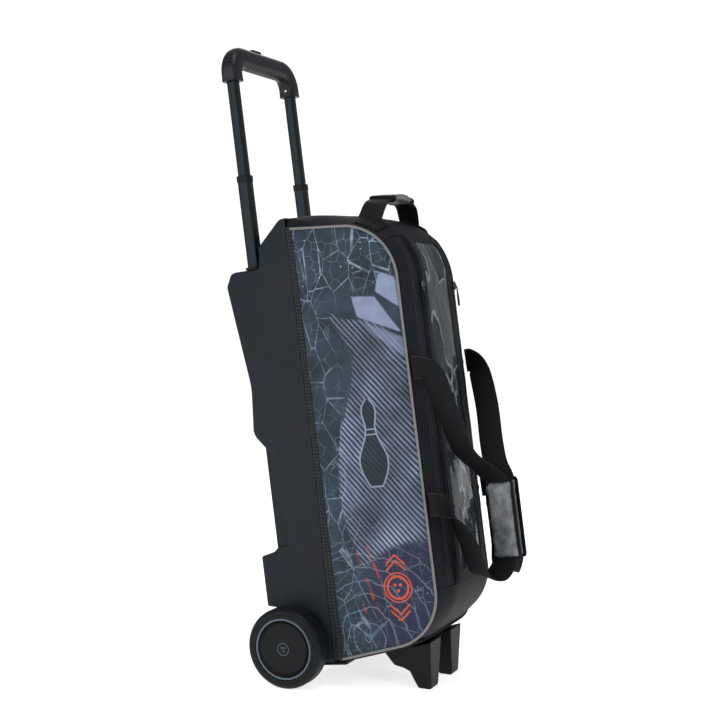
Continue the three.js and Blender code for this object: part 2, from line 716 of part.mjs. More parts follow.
const GRAB_Y = BODY_FRONT + 54;
const grabSurface = BODY_TOP - 2;
const GRAB_FOOT = 11; // middle of the strap's ends above the top
const grabStations = [];
const GRAB_STEPS = 8;
for (let k = 0; k <= GRAB_STEPS; k++) {
  const t = (2 * k) / GRAB_STEPS - 1;
  const lift = Math.pow(1 - t * t, 0.42);
  const tilt = 0.5 - 0.4 * lift;
  const height = grabSurface + GRAB_FOOT + (GRAB_HEIGHT - GRAB_FOOT + 4) * lift;
  grabStations.push([
    vector(t * (GRAB_HALF_SPAN - 6 * lift), GRAB_Y - 8 * lift, height),
    vector(0, -Math.cos(tilt), -Math.sin(tilt)),
  ]);
}
add("grab_strap", band(grabStations, WEBBING, WEBBING_THICK, 28), BLACK_FABRIC);
const grabPadOuter = band(grabStations, WEBBING + 8, 11, 28);
const grabPadLimits = block(
  -GRAB_PAD_HALF,
  GRAB_PAD_HALF,
  GRAB_Y - 60,
  GRAB_Y + 60,
  grabSurface,
  grabSurface + 2 * GRAB_HEIGHT,
);
const grabSlot = band(grabStations, WEBBING + 2 * GAP, WEBBING_THICK + 2 * GAP, 28);
const grabPad = geometryOf(solid(grabPadOuter).intersect(solid(grabPadLimits)).subtract(solid(grabSlot)));
add("grab_pad", grabPad, SILVER_CLOTH);

// ---- telescoping handle --------------------------------------------------------------------------
function squareTube(x, size, z0, z1) {
  const outer = squareBar(x, TUBE_Y, size, size, z0, z1, 2.5);
  const bore = size - 2 * TUBE_WALL;
  return cut(outer, squareBar(x, TUBE_Y, bore, bore, z0 - 5, z1 + 5, 1.5));
}

const bezelLow = SHOULDER + GAP;
const bezelHigh = bezelLow + BEZEL_HEIGHT;
const collarLow = bezelHigh + GAP + MIDDLE_TRAVEL;
const collarHigh = collarLow + COLLAR_HEIGHT;
const socketLow = collarHigh + GAP + INNER_TRAVEL;
const gripTop = socketLow + GRIP_RISE;
const innerTop = socketLow + SOCKET_DEPTH;
const OUTER_TUBE_HIGH = SHOULDER - SHELL_WALL - 3;

for (const [name, side] of SIDES) {
  const x = side * TUBE_X;
  add("outer_tube_" + name, squareTube(x, OUTER_TUBE, OUTER_TUBE_LOW, OUTER_TUBE_HIGH), TUBE_METAL);
  const bezelOpening = MIDDLE_TUBE + 2 * TUBE_PLAY;
  add(
    "tube_bezel_" + name,
    cut(
      squareBar(x, TUBE_Y, BEZEL_WIDTH, BEZEL_DEPTH, bezelLow, bezelHigh, 4),
      squareBar(x, TUBE_Y, bezelOpening, bezelOpening, bezelLow - 5, bezelHigh + 5, 2.5),
    ),
    BLACK_PLASTIC,
  );
  const middleTop = collarLow - GAP;
  add(
    "middle_tube_" + name,
    squareTube(x, MIDDLE_TUBE, middleTop - MIDDLE_TUBE_LENGTH, middleTop),
    TUBE_METAL,
  );
  const collarOpening = INNER_TUBE + 2 * TUBE_PLAY;
  add(
    "middle_collar_" + name,
    cut(
      squareBar(x, TUBE_Y, MIDDLE_TUBE + 1.6, MIDDLE_TUBE + 1.6, collarLow, collarHigh, 3),
      squareBar(x, TUBE_Y, collarOpening, collarOpening, collarLow - 5, collarHigh + 5, 2.5),
    ),
    BLACK_PLASTIC,
  );
  add(
    "inner_tube_" + name,
    squareTube(x, INNER_TUBE, innerTop - INNER_TUBE_LENGTH, innerTop),
    TUBE_METAL,
  );
}

const BRACKET_HEIGHT = 20;
const bracketTop = OUTER_TUBE_LOW - GAP;
add(
  "handle_bracket",
  block(
    -TUBE_X - OUTER_TUBE / 2,
    TUBE_X + OUTER_TUBE / 2,
    TUBE_Y - OUTER_TUBE / 2,
    TUBE_Y + OUTER_TUBE / 2,
    bracketTop - BRACKET_HEIGHT,
    bracketTop,
  ),
  BLACK_PLASTIC,
);

// The grip is a hollow arch: its bar holds the release bar, its legs are the tubes' sockets.
const archHalf = TUBE_X + GRIP_SOCKET / 2;
const archInner = TUBE_X - GRIP_SOCKET / 2;
const barLow = gripTop - GRIP_BAR;
function archOutline(inset) {
  return roundedOutline(
    [
      [-archHalf, socketLow - 1 + inset, 0.5],
      [-archInner, socketLow - 1 + inset, 0.5],
      [-archInner + 3, barLow, 14],
      [archInner - 3, barLow, 14],
      [archInner, socketLow - 1 + inset, 0.5],
      [archHalf, socketLow - 1 + inset, 0.5],
      [archHalf, gripTop, GRIP_OUTER_RADIUS],
      [-archHalf, gripTop, GRIP_OUTER_RADIUS],
    ],
    inset,
  );
}
function gripBody() {
  const half = GRIP_DEPTH / 2;
  const rounding = [
    [6, 0],
    [2.4, 1.6],
    [0.6, 4.4],
    [0, 9],
  ];
  const rings = rounding.map(([inset, y]) =>
    archOutline(inset).map((p) => vector(p.x, TUBE_Y - half + y, p.y)),
  );
  const across = (p) => vector(p.x, 2 * TUBE_Y - p.y, p.z);
  const mirrored = [...rings].reverse().map((points) => points.map(across));
  return loft([...rings, ...mirrored], archOutline(rounding[0][0]));
}
const RELEASE_BAR = 6; // height and depth of the bar that joins the button to the rods
const releaseZ = barLow + GRIP_BAR / 2;
const BUTTON_STEM = 8;
const BUTTON_TRAVEL = 4;
const rodTop = releaseZ - RELEASE_BAR / 2 - GAP;
const gripHollows = [
  block(-TUBE_X - 5, TUBE_X + 5, TUBE_Y - 5, TUBE_Y + 5, releaseZ - 4 - BUTTON_TRAVEL, releaseZ + 4),
  block(
    BUTTON_X - BUTTON_WIDTH / 2 - GAP,
    BUTTON_X + BUTTON_WIDTH / 2 + GAP,
    TUBE_Y - BUTTON_DEPTH / 2 - GAP,
    TUBE_Y + BUTTON_DEPTH / 2 + GAP,
    releaseZ + 2,
    gripTop + 10,
  ),
  block(
    -archInner - 40,
    archInner + 40,
    TUBE_Y - GRIP_DEPTH,
    TUBE_Y + GRIP_DEPTH,
    socketLow - 40,
    socketLow,
  ),
];
for (const [, side] of SIDES) {
  const x = side * TUBE_X;
  const socket = INNER_TUBE + 2 * GAP;
  gripHollows.push(
    squareBar(x, TUBE_Y, socket, socket, socketLow - 10, innerTop + GAP, 2.5),
    rod(ROD_RADIUS + 2, releaseZ - innerTop + 8, 12)
      .rotateX(Math.PI / 2)
      .translate(x, TUBE_Y, (releaseZ + innerTop) / 2),
  );
}
add("grip", cut(gripBody(), ...gripHollows), BLACK_PLASTIC);

const buttonCap = squareBar(
  BUTTON_X,
  TUBE_Y,
  BUTTON_WIDTH,
  BUTTON_DEPTH,
  gripTop - 3,
  gripTop + BUTTON_PROUD,
  3,
);
const buttonStem = block(
  BUTTON_X - BUTTON_STEM / 2,
  BUTTON_X + BUTTON_STEM / 2,
  TUBE_Y - BUTTON_STEM / 2,
  TUBE_Y + BUTTON_STEM / 2,
  releaseZ,
  gripTop - 2,
);
const releaseBar = block(
  -TUBE_X - 3.5,
  TUBE_X + 3.5,
  TUBE_Y - RELEASE_BAR / 2,
  TUBE_Y + RELEASE_BAR / 2,
  releaseZ - RELEASE_BAR / 2,
  releaseZ + RELEASE_BAR / 2,
);
add("release_button", join(buttonCap, buttonStem, releaseBar), BLACK_PLASTIC);
for (const [name, side] of SIDES) {
  const pushRod = rod(ROD_RADIUS, ROD_LENGTH, 12).rotateX(Math.PI / 2);
  pushRod.translate(side * TUBE_X, TUBE_Y, rodTop - ROD_LENGTH / 2);
  add("push_rod_" + name, pushRod, STEEL);
}

// ---- wheels: a rubber tyre on a moulded hub with a snap-on cap -----------------------------------
const WHEEL_SIDES = 40;
const wheelHalf = WHEEL_WIDTH / 2;
const boreRadius = (AXLE_RADIUS + 0.08) / Math.cos(Math.PI / WHEEL_SIDES);
for (const [name, side] of SIDES) {
  const wheel = new THREE.Group();
  wheel.position.x = side * WHEEL_CENTRE;
  wheel.rotation.y = side > 0 ? 0 : Math.PI;
  bag.add(wheel);
  const tyre = turned(
    [
      [-wheelHalf + 1, RIM_RADIUS],
      [wheelHalf - 1, RIM_RADIUS],
      [wheelHalf, RIM_RADIUS + 2],
      [wheelHalf, WHEEL_RADIUS - 9],
      [wheelHalf - 3, WHEEL_RADIUS - 3],
      [wheelHalf - 9, WHEEL_RADIUS],
      [-wheelHalf + 9, WHEEL_RADIUS],
      [-wheelHalf + 3, WHEEL_RADIUS - 3],
      [-wheelHalf, WHEEL_RADIUS - 9],
      [-wheelHalf, RIM_RADIUS + 2],
    ],
    WHEEL_SIDES,
  );
  add("tyre_" + name, tyre, RUBBER, wheel);
  const hub = turned(
    [
      [-wheelHalf + 2, boreRadius],
      [wheelHalf - 8, boreRadius],
      [wheelHalf - 8, CAP_RADIUS + GAP],
      [wheelHalf - 2, CAP_RADIUS + GAP],
      [wheelHalf - 2, RIM_RADIUS - GAP - 1],
      [wheelHalf - 3, RIM_RADIUS - GAP],
      [-wheelHalf + 2, RIM_RADIUS - GAP],
      [-wheelHalf + 2, RIM_RADIUS - 5],
      [0, RIM_RADIUS - 6],
      [0, 14],
      [-wheelHalf + 2, 12],
    ],
    WHEEL_SIDES,
  );
  add("hub_" + name, hub, GREY_PLASTIC, wheel);
  const cap = turned(
    [
      [wheelHalf - 3.5, 0],
      [wheelHalf - 3.5, 8],
      [wheelHalf - 7.7, 8.5],
      [wheelHalf - 7.7, CAP_RADIUS],
      [wheelHalf - 2, CAP_RADIUS],
      [wheelHalf - 1, CAP_RADIUS - 1],
      [wheelHalf - 1, 0],
    ],
    WHEEL_SIDES,
  );
  add("hub_cap_" + name, cap, BLACK_PLASTIC, wheel);
}

// ---- the bag leans back on its wheels and on two feet --------------------------------------------
bag.rotation.x = -LEAN;
bag.position.z = WHEEL_RADIUS;
const model = new THREE.Group();
model.add(bag);

// Feet stand upright: the sole is level, the top follows the tray's underside.
const onFloor = (p) => p.clone().applyAxisAngle(vector(1, 0, 0), -LEAN).add(vector(0, 0, WHEEL_RADIUS));
function trayUnderside(y) {
  const places = [0, 1].map((step) => {
    const place = seamEnd - 1 + step;
    const p = seamPoint(-BOTTOM_CROWN - GAP - TRAY - GAP, place);
    return onFloor(vector(0, p.x, p.y));
  });
  const t = (y - places[0].y) / (places[1].y - places[0].y);
  return THREE.MathUtils.lerp(places[0].z, places[1].z, t);
}
const soleFront = FOOT_Y - FOOT_SOLE / 2;
const soleBack = FOOT_Y + FOOT_SOLE / 2;
const braceBack = soleBack + 54;
const kneeHeight = 30;
const footOutline = [
  [soleFront + 1.5, 0],
  [soleBack - 2, 0],
  [soleBack + 4, 10],
  [soleBack + 12, kneeHeight - 4],
  [soleBack + 22, kneeHeight],
  [soleBack + 38, kneeHeight + 3],
  [braceBack, trayUnderside(braceBack) - GAP],
  [soleFront - 1, trayUnderside(soleFront - 1) - GAP],
  [soleFront, 4],
].map(([y, z]) => new THREE.Vector2(y, z));
const footTop = Math.max(...footOutline.map((p) => p.y));
for (const [name, side] of SIDES) {
  const halfWidth = (z) => THREE.MathUtils.lerp(FOOT_SOLE_HALF_WIDTH, FOOT_TOP_HALF_WIDTH, z / footTop);
  const rings = [-1, 1].map((edge) =>
    footOutline.map((p) => vector(side * FOOT_X + edge * halfWidth(p.y), p.x, p.y)),
  );
  add("foot_" + name, loft(rings, footOutline), BLACK_PLASTIC, model);
}

// The origin is the middle of the footprint, on the floor.
model.updateMatrixWorld(true);
const bounds = new THREE.Box3().setFromObject(model, true);
model.position.y = -(bounds.min.y + bounds.max.y) / 2;
model.position.z = -bounds.min.z;

export default model;
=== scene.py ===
"""A wheeled in-line bag for three bowling balls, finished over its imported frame.

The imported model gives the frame: where each piece is, and what it moves with. This file makes
the surfaces that show: the printed side panels, fabric, webbing, vinyl, zips, pads, mouldings,
tubes, grip and wheels, with their materials, and the stage. Metres, +Z up, -Y the zipped front.
"""

import json
import math

import bmesh
import bpy
from mathutils import Matrix, Vector, noise


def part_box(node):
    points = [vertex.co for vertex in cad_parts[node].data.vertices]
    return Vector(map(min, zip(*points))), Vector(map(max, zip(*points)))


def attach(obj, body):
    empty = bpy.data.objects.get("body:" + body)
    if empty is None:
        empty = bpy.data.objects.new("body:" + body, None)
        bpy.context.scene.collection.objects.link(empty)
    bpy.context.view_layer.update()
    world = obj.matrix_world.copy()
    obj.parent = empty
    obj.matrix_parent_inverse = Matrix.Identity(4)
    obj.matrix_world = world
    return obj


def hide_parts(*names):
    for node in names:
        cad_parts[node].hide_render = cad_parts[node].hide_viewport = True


bl_info = {
    "name": "Bowling Ball Roller Bag",
    "version": (1, 0, 0),
    "blender": (4, 5, 0),
    "location": "3D View > Sidebar > Roller Bag",
    "description": "Makes a wheeled bag for three bowling balls piece by piece",
    "category": "Add Mesh",
}

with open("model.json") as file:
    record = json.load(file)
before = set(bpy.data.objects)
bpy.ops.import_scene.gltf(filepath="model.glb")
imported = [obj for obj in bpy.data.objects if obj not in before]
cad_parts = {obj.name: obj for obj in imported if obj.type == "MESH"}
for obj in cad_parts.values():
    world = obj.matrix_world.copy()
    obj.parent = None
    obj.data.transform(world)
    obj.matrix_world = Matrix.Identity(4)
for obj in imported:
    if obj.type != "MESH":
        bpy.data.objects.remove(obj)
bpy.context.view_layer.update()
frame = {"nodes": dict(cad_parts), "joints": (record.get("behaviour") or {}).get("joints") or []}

# ---- the bag's own leaning frame, through its axle ----------------------------------------------


def joint_named(name):
    for joint in frame["joints"]:
        if joint["name"] == name:
            return joint
    raise KeyError(name)


def middle(node):
    low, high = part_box(node)
    return (low + high) / 2


UP = -Vector(joint_named("middle_stage_slide")["axis"]).normalized()
ACROSS = Vector((1, 0, 0))
BACK = UP.cross(ACROSS)
AXLE = middle("axle")
SIDES = (("left", -1), ("right", 1))


def at(x, y, z):
    """A point of the bag's own frame: across, towards the back and up from the axle."""
    return AXLE + ACROSS * x + BACK * y + UP * z


def extent(node):
    """Lowest and highest corner of a CAD node in the bag's own frame."""
    offsets = [vertex.co - AXLE for vertex in frame["nodes"][node].data.vertices]
    places = [(d.dot(ACROSS), d.dot(BACK), d.dot(UP)) for d in offsets]
    low = Vector([min(p[k] for p in places) for k in range(3)])
    high = Vector([max(p[k] for p in places) for k in range(3)])
    return low, high


MM = 0.001
GAP = 0.3 * MM
FABRIC = 3 * MM
PIPING_RADIUS = 2.4 * MM
PANEL_TUCK = PIPING_RADIUS - 1 * MM  # how far a side panel stops short of the seam

panel_low, panel_high = extent("side_panel_right")
pipe_low, pipe_high = extent("piping_right")
lid_low, lid_high = extent("front_lid")
HALF_WIDTH = panel_high.x
SEAM_FRONT = pipe_low.y + PIPING_RADIUS
SEAM_BACK = pipe_high.y
SEAM_TOP = pipe_high.z - PIPING_RADIUS
SEAM_BOTTOM = pipe_low.z + PIPING_RADIUS
TOP_FALL = 18 * MM
BOTTOM_RISE = 30 * MM
TOP_CORNER = 90 * MM
BOTTOM_CORNER = 85 * MM
CROWN = SEAM_FRONT - lid_low.y
BOTTOM_CROWN = 6 * MM
LID_HALF = lid_high.x
LID_TOP = 608 * MM
LID_FOOT = 76 * MM
BOTTOM_START = 10 * MM
SHELL_FRONT_TOP = -72.5 * MM
SHELL_FRONT_LOW = -64.5 * MM
SHELL_BEND = 268 * MM
WEBBING = 38 * MM
WEBBING_THICK = 2.6 * MM

# ---- sizes and colours that a user would change -------------------------------------------------


class BagSizes(bpy.types.PropertyGroup):
    panel_bulge: bpy.props.FloatProperty(
        name="Panel bulge",
        description="How far a side panel swells between its seams",
        default=3.5 * MM,
        unit="LENGTH",
    )
    wrinkle: bpy.props.FloatProperty(
        name="Wrinkle height",
        description="Height of the folds in the black cloth",
        default=1.3 * MM,
        unit="LENGTH",
    )
    vinyl_wave: bpy.props.FloatProperty(
        name="Vinyl wave",
        description="Height of the waves in the clear window",
        default=1.5 * MM,
        unit="LENGTH",
    )
    stitch_pitch: bpy.props.FloatProperty(
        name="Stitch pitch",
        description="From one stitch to the next",
        default=4.2 * MM,
        unit="LENGTH",
    )
    tooth_pitch: bpy.props.FloatProperty(
        name="Tooth pitch",
        description="From one zip tooth to the next",
        default=2.1 * MM,
        unit="LENGTH",
    )
    pad_pressure: bpy.props.FloatProperty(
        name="Pad pressure",
        description="How hard the pads are blown up by the cloth step",
        default=4.0,
    )
    grip_ripple: bpy.props.FloatProperty(
        name="Grip ripple",
        description="Depth of the finger ripples under the grip",
        default=1.5 * MM,
        unit="LENGTH",
    )


def colour_property(name, description, default):
    return bpy.props.FloatVectorProperty(
        name=name, description=description, default=default, subtype="COLOR", min=0, max=1
    )


class BagColours(bpy.types.PropertyGroup):
    shell: colour_property("Shell", "Moulded rear shell", (0.0095, 0.0128, 0.0165))
    cloth: colour_property("Cloth", "Black polyester", (0.0034, 0.0042, 0.0056))
    webbing: colour_property("Webbing", "Woven straps", (0.0020, 0.0024, 0.0031))
    melange: colour_property("Melange", "Grey cloth under the window", (0.016, 0.019, 0.023))
    print_slate: colour_property("Print slate", "Ground of the print", (0.0215, 0.036, 0.052))
    print_indigo: colour_property("Print indigo", "Low front of the print", (0.024, 0.028, 0.062))
    print_lavender: colour_property("Print lavender", "Pale print areas", (0.185, 0.215, 0.32))
    emblem: colour_property("Emblem", "Red of the ball emblem", (0.50, 0.075, 0.03))
    piping: colour_property("Piping", "Cord round the side panels", (0.20, 0.192, 0.19))
    silver: colour_property("Silver cloth", "Pads on the straps", (0.16, 0.17, 0.18))
    tube: colour_property("Tube", "Anodised handle tubes", (0.0105, 0.0138, 0.0165))
    ring: colour_property("Wheel ring", "Thin ring on the hub", (0.10, 0.125, 0.155))


class StageSettings(bpy.types.PropertyGroup):
    floor_size: bpy.props.FloatProperty(
        name="Floor size", description="Side of the pale floor", default=60.0, unit="LENGTH"
    )
    key_power: bpy.props.FloatProperty(
        name="Key power", description="Main soft light", default=34.0, unit="POWER"
    )
    camera_yaw: bpy.props.FloatProperty(
        name="Camera yaw",
        description="Heading of the camera from +X towards +Y",
        default=math.radians(24.87),
        subtype="ANGLE",
    )
    camera_pitch: bpy.props.FloatProperty(
        name="Camera pitch",
        description="How far the camera looks down",
        default=math.radians(2.89),
        subtype="ANGLE",
    )


# ---- node graphs --------------------------------------------------------------------------------


class Signal:
    """A number that varies over a surface. Arithmetic on it adds Math nodes to its graph."""

    def __init__(self, graph, socket):
        self.graph = graph
        self.socket = socket

    def math(self, operation, *values, clamp=False):
        settings = {"operation": operation, "use_clamp": clamp}
        return self.graph.node("ShaderNodeMath", settings, dict(enumerate(values)))

    def __add__(self, other):
        return self.math("ADD", self, other)

    __radd__ = __add__

    def __sub__(self, other):
        return self.math("SUBTRACT", self, other)

    def __rsub__(self, other):
        return self.math("SUBTRACT", other, self)

    def __mul__(self, other):
        return self.math("MULTIPLY", self, other)

    __rmul__ = __mul__

    def __truediv__(self, other):
        return self.math("DIVIDE", self, other)

    def __abs__(self):
        return self.math("ABSOLUTE", self)

    def wave(self, length):
        """From -1 to 1 and back over the given length."""
        return self.math("SINE", self * (2 * math.pi / length))

    def rise(self, low, high):
        """0 below low, 1 above high, smooth between; low above high turns it round."""
        flipped = low > high
        settings = {"interpolation_type": "SMOOTHSTEP"}
        start, end = (high, low) if flipped else (low, high)
        sockets = {"Value": self, "From Min": start, "From Max": end}
        risen = self.graph.node("ShaderNodeMapRange", settings, sockets)
        return 1 - risen if flipped else risen

    def line(self, width, soft):
        """1 where the value is within width of nothing, fading over soft."""
        return abs(self).rise(width + soft, width)

    def either(self, other):
        return self.math("MAXIMUM", self, other)


class Graph:
    """A node tree that is filled by one method."""

    def __init__(self, tree):
        self.tree = tree

    def node(self, kind, settings=None, sockets=None, output=0):
        """Adds a node with its settings, then its sockets' values or links; gives its outputs."""
        made = self.tree.nodes.new(kind)
        for key, value in (settings or {}).items():
            if key == "stops":
                self.set_stops(made.color_ramp, value)
            else:
                setattr(made, key, value)
        for key, value in (sockets or {}).items():
            if isinstance(value, Signal):
                self.tree.links.new(value.socket, made.inputs[key])
            else:
                made.inputs[key].default_value = value
        if isinstance(output, tuple):
            return [Signal(self, made.outputs[name]) for name in output]
        return Signal(self, made.outputs[output]) if len(made.outputs) else None

    @staticmethod
    def set_stops(ramp, stops):
        while len(ramp.elements) < len(stops):
            ramp.elements.new(1.0)
        for element, (position, level) in zip(ramp.elements, stops):
            element.position = position
            element.color = (level, level, level, 1)


def opaque(colour):
    return (*colour, 1.0)


class Look(Graph):
    """One procedural material. Its patterns are laid out in millimetres of the bag's own frame."""

    def __init__(self, name):
        self.material = bpy.data.materials.new(name)
        self.material.use_nodes = True
        super().__init__(self.material.node_tree)
        self.tree.nodes.clear()

    def place(self):
        """Millimetres across, back and up from the axle."""
        coordinates = self.node("ShaderNodeTexCoord", output=3)
        lean = Matrix((ACROSS, BACK, UP)).transposed().to_euler()
        sockets = {"Vector": coordinates, "Location": AXLE, "Rotation": lean, "Scale": (MM, MM, MM)}
        return self.node("ShaderNodeMapping", {"vector_type": "TEXTURE"}, sockets)

    def laid(self):
        """Millimetres along the piece's own UV map."""
        coordinates = self.node("ShaderNodeTexCoord", output=2)
        sockets = {"Vector": coordinates, "Scale": (MM, MM, MM)}
        return self.node("ShaderNodeMapping", {"vector_type": "TEXTURE"}, sockets)

    def axes(self, vector):
        return self.node("ShaderNodeSeparateXYZ", None, {"Vector": vector}, output=("X", "Y", "Z"))

    def vector(self, x, y, z):
        return self.node("ShaderNodeCombineXYZ", None, {"X": x, "Y": y, "Z": z})

    def noise(self, vector, length, detail=2.0, roughness=0.5, stretch=(1, 1, 1)):
        """Noise from 0 to 1 whose features are about length across."""
        if stretch != (1, 1, 1):
            vector = self.node("ShaderNodeMapping", None, {"Vector": vector, "Scale": stretch})
        sockets = {"Vector": vector, "Scale": 1 / length, "Detail": detail, "Roughness": roughness}
        return self.node("ShaderNodeTexNoise", None, sockets)

    def noise_colour(self, vector, length):
        """Three noises at once, to bend a pattern's coordinates."""
        sockets = {"Vector": vector, "Scale": 1 / length, "Detail": 2.0}
        return self.node("ShaderNodeTexNoise", None, sockets, output="Color")

    def cells(self, vector, length, feature="DISTANCE_TO_EDGE", output="Distance"):
        sockets = {"Vector": vector, "Scale": 1 / length}
        return self.node("ShaderNodeTexVoronoi", {"feature": feature}, sockets, output=output)

    def weave(self, vector, pitch):
        """A plain weave's height, from 0 to 1."""
        x, y, z = self.axes(vector)
        across = (x + y).wave(pitch)
        along = (z + y * 0.5).wave(pitch)
        return across * along * 0.5 + 0.5

    def mix(self, factor, first, second, mode="MIX"):
        settings = {"data_type": "RGBA", "blend_type": mode}
        return self.node("ShaderNodeMix", settings, {0: factor, 6: first, 7: second}, output=2)

    def bump(self, height, distance, strength=1.0, normal=None):
        sockets = {"Height": height, "Distance": distance, "Strength": strength}
        if normal:
            sockets["Normal"] = normal
        return self.node("ShaderNodeBump", None, sockets)

    def surface(self, colour, roughness, **sockets):
        """Ends the material in a Principled shader and gives the material."""
        named = {key.replace("_", " "): value for key, value in sockets.items()}
        named = {"Base Color": colour, "Roughness": roughness, "Specular IOR Level": 0.16, **named}
        shader = self.node("ShaderNodeBsdfPrincipled", None, named)
        self.node("ShaderNodeOutputMaterial", None, {"Surface": shader})
        return self.material


# ---- materials ----------------------------------------------------------------------------------


def colours():
    return bpy.context.scene.bag_colours


def shell_plastic():
    """Matte charcoal moulding with a fine spark-eroded grain and faint flow shading."""
    look = Look("shell_plastic")
    place = look.place()
    grain = look.noise(place, 0.7, detail=3)
    flow = look.noise(place, 90, detail=2)
    base = Vector(colours().shell)
    tone = look.mix(flow, opaque(base * 0.82), opaque(base * 1.2))
    tone = look.mix(grain.rise(0.4, 0.8) * 0.35, tone, opaque(base * 1.7))
    return look.surface(
        tone,
        0.46 + grain * 0.16 + flow * 0.06,
        Normal=look.bump(grain, 0.00012, 0.55),
        Specular_IOR_Level=0.15,
    )


def black_plastic():
    """Satin black moulding with a fine texture."""
    look = Look("black_plastic")
    place = look.place()
    grain = look.noise(place, 0.9, detail=3)
    scuffs = look.noise(place, 24, detail=5, roughness=0.7)
    tone = look.mix(scuffs.rise(0.45, 0.75), (0.0022, 0.0026, 0.0034, 1), (0.0050, 0.0058, 0.0074, 1))
    return look.surface(
        tone, 0.36 + grain * 0.2 + scuffs * 0.1, Normal=look.bump(grain, 0.0001, 0.4)
    )


def grip_rubber():
    """Soft-touch black of the grip: a little sheen and a faint moulded grain."""
    look = Look("grip_rubber")
    place = look.place()
    grain = look.noise(place, 0.8, detail=4)
    wear = look.noise(place, 30, detail=4)
    tone = look.mix(wear, (0.0034, 0.0040, 0.0052, 1), (0.0080, 0.0094, 0.0118, 1))
    return look.surface(
        tone,
        0.34 + grain * 0.14,
        Normal=look.bump(grain, 0.00008, 0.4),
        Coat_Weight=0.12,
        Coat_Roughness=0.3,
    )


def tube_metal():
    """Dark anodised aluminium, drawn along its length."""
    look = Look("tube_metal")
    place = look.place()
    drawn = look.noise(place, 0.8, detail=3, stretch=(1, 1, 0.01))
    cloud = look.noise(place, 60)
    base = Vector(colours().tube)
    tone = look.mix(drawn * 0.7 + cloud * 0.3, opaque(base * 0.75), opaque(base * 1.6))
    return look.surface(
        tone, 0.24 + drawn * 0.16, Metallic=0.75 + cloud * 0.1, Normal=look.bump(drawn, 0.00004, 0.35)
    )


def steel():
    """Zinc-plated steel with fine scratches."""
    look = Look("plated_steel")
    place = look.place()
    marks = look.noise(place, 2.5, detail=5, roughness=0.7)
    tone = look.mix(marks, (0.20, 0.205, 0.215, 1), (0.42, 0.43, 0.45, 1))
    return look.surface(tone, 0.22 + marks * 0.22, Metallic=1.0, Normal=look.bump(marks, 0.00005, 0.3))


def dark_metal():
    """Black-nickel zip hardware."""
    look = Look("dark_metal")
    marks = look.noise(look.place(), 1.6, detail=4)
    tone = look.mix(marks, (0.025, 0.027, 0.03, 1), (0.085, 0.09, 0.1, 1))
    return look.surface(tone, 0.22 + marks * 0.2, Metallic=0.9, Normal=look.bump(marks, 0.00004, 0.3))


def tyre_rubber():
    """Black polyurethane: fine mottling and a few paler dusty patches."""
    look = Look("tyre_rubber")
    place = look.place()
    mottle = look.noise(place, 3.0, detail=5, roughness=0.65)
    dust = look.noise(place, 16, detail=3)
    tone = look.mix(dust.rise(0.5, 0.8) * 0.5, (0.0034, 0.0042, 0.0056, 1), (0.009, 0.011, 0.014, 1))
    return look.surface(tone, 0.38 + mottle * 0.2, Normal=look.bump(mottle, 0.00015, 0.35))


def ring_plastic():
    """Blue-grey satin ring round the hub."""
    look = Look("ring_plastic")
    grain = look.noise(look.place(), 1.2, detail=4)
    base = Vector(colours().ring)
    tone = look.mix(grain, opaque(base * 0.85), opaque(base * 1.15))
    return look.surface(tone, 0.34 + grain * 0.12, Normal=look.bump(grain, 0.00005, 0.3))


def black_cloth():
    """Black polyester: a fine plain weave, soft mottling and a few paler fibres."""
    look = Look("black_cloth")
    place = look.place()
    weave = look.weave(place, 1.1)
    fibres = look.noise(place, 0.6, detail=3)
    mottle = look.noise(place, 45, detail=3)
    base = Vector(colours().cloth)
    tone = look.mix(mottle, opaque(base * 0.7), opaque(base * 1.6))
    tone = look.mix(fibres.rise(0.5, 0.8) * 0.5, tone, opaque(base * 3.2))
    return look.surface(
        tone,
        0.58 + weave * 0.14,
        Normal=look.bump(weave * 0.7 + fibres * 0.3, 0.00022, 0.6),
    )


def binding_cloth():
    """Black edge tape with pricked, uneven holes painted dark as painted shade, and bright specks
    painted as glints of light on its thread.
    """
    look = Look("binding_cloth")
    place = look.place()
    spots = look.cells(place, 4.2, feature="F1")
    hole = spots.rise(0.34, 0.18)
    painted_thread_glint = look.noise(place, 1.7, detail=4).rise(0.66, 0.78)
    # Painted shade darkens the holes; painted glints brighten a few specks.
    tone = look.mix(hole, (0.0115, 0.0125, 0.0145, 1), (0.0010, 0.0010, 0.0014, 1))
    tone = look.mix(painted_thread_glint * 0.7, tone, (0.085, 0.092, 0.10, 1))
    return look.surface(tone, 0.62, Normal=look.bump(1 - hole, 0.0006, 0.8))


def webbing_cloth():
    """Woven strap: tight ribs across it, a chevron within each rib and smooth edges."""
    look = Look("webbing_cloth")
    u, v, _ = look.axes(look.laid())
    rib = (v + abs(u.wave(9.0)) * 0.6).wave(2.3)
    thread = u.wave(1.3)
    height = rib * 0.35 + thread * 0.12 + 0.5
    fray = look.noise(look.laid(), 1.2, detail=4)
    base = Vector(colours().webbing)
    # The rib height also paints the colour: crests lighter as painted highlight, grooves darker as
    # painted shade.
    tone = look.mix(height.rise(0.35, 0.95), opaque(base * 0.45), opaque(base * 2.6))
    tone = look.mix(fray.rise(0.62, 0.8) * 0.4, tone, opaque(base * 5.5))
    return look.surface(
        tone, 0.5 + fray * 0.16, Normal=look.bump(height, 0.0005, 0.75)
    )


def thread(name, colour, roughness=0.5):
    look = Look(name)
    twist = look.noise(look.place(), 0.5, detail=2)
    tone = look.mix(twist, opaque(Vector(colour) * 0.7), opaque(Vector(colour) * 1.3))
    return look.surface(tone, roughness, Normal=look.bump(twist, 0.0001, 0.5))


def black_thread():
    return thread("black_thread", (0.030, 0.033, 0.038))


def grey_thread():
    return thread("grey_thread", (0.10, 0.105, 0.115))


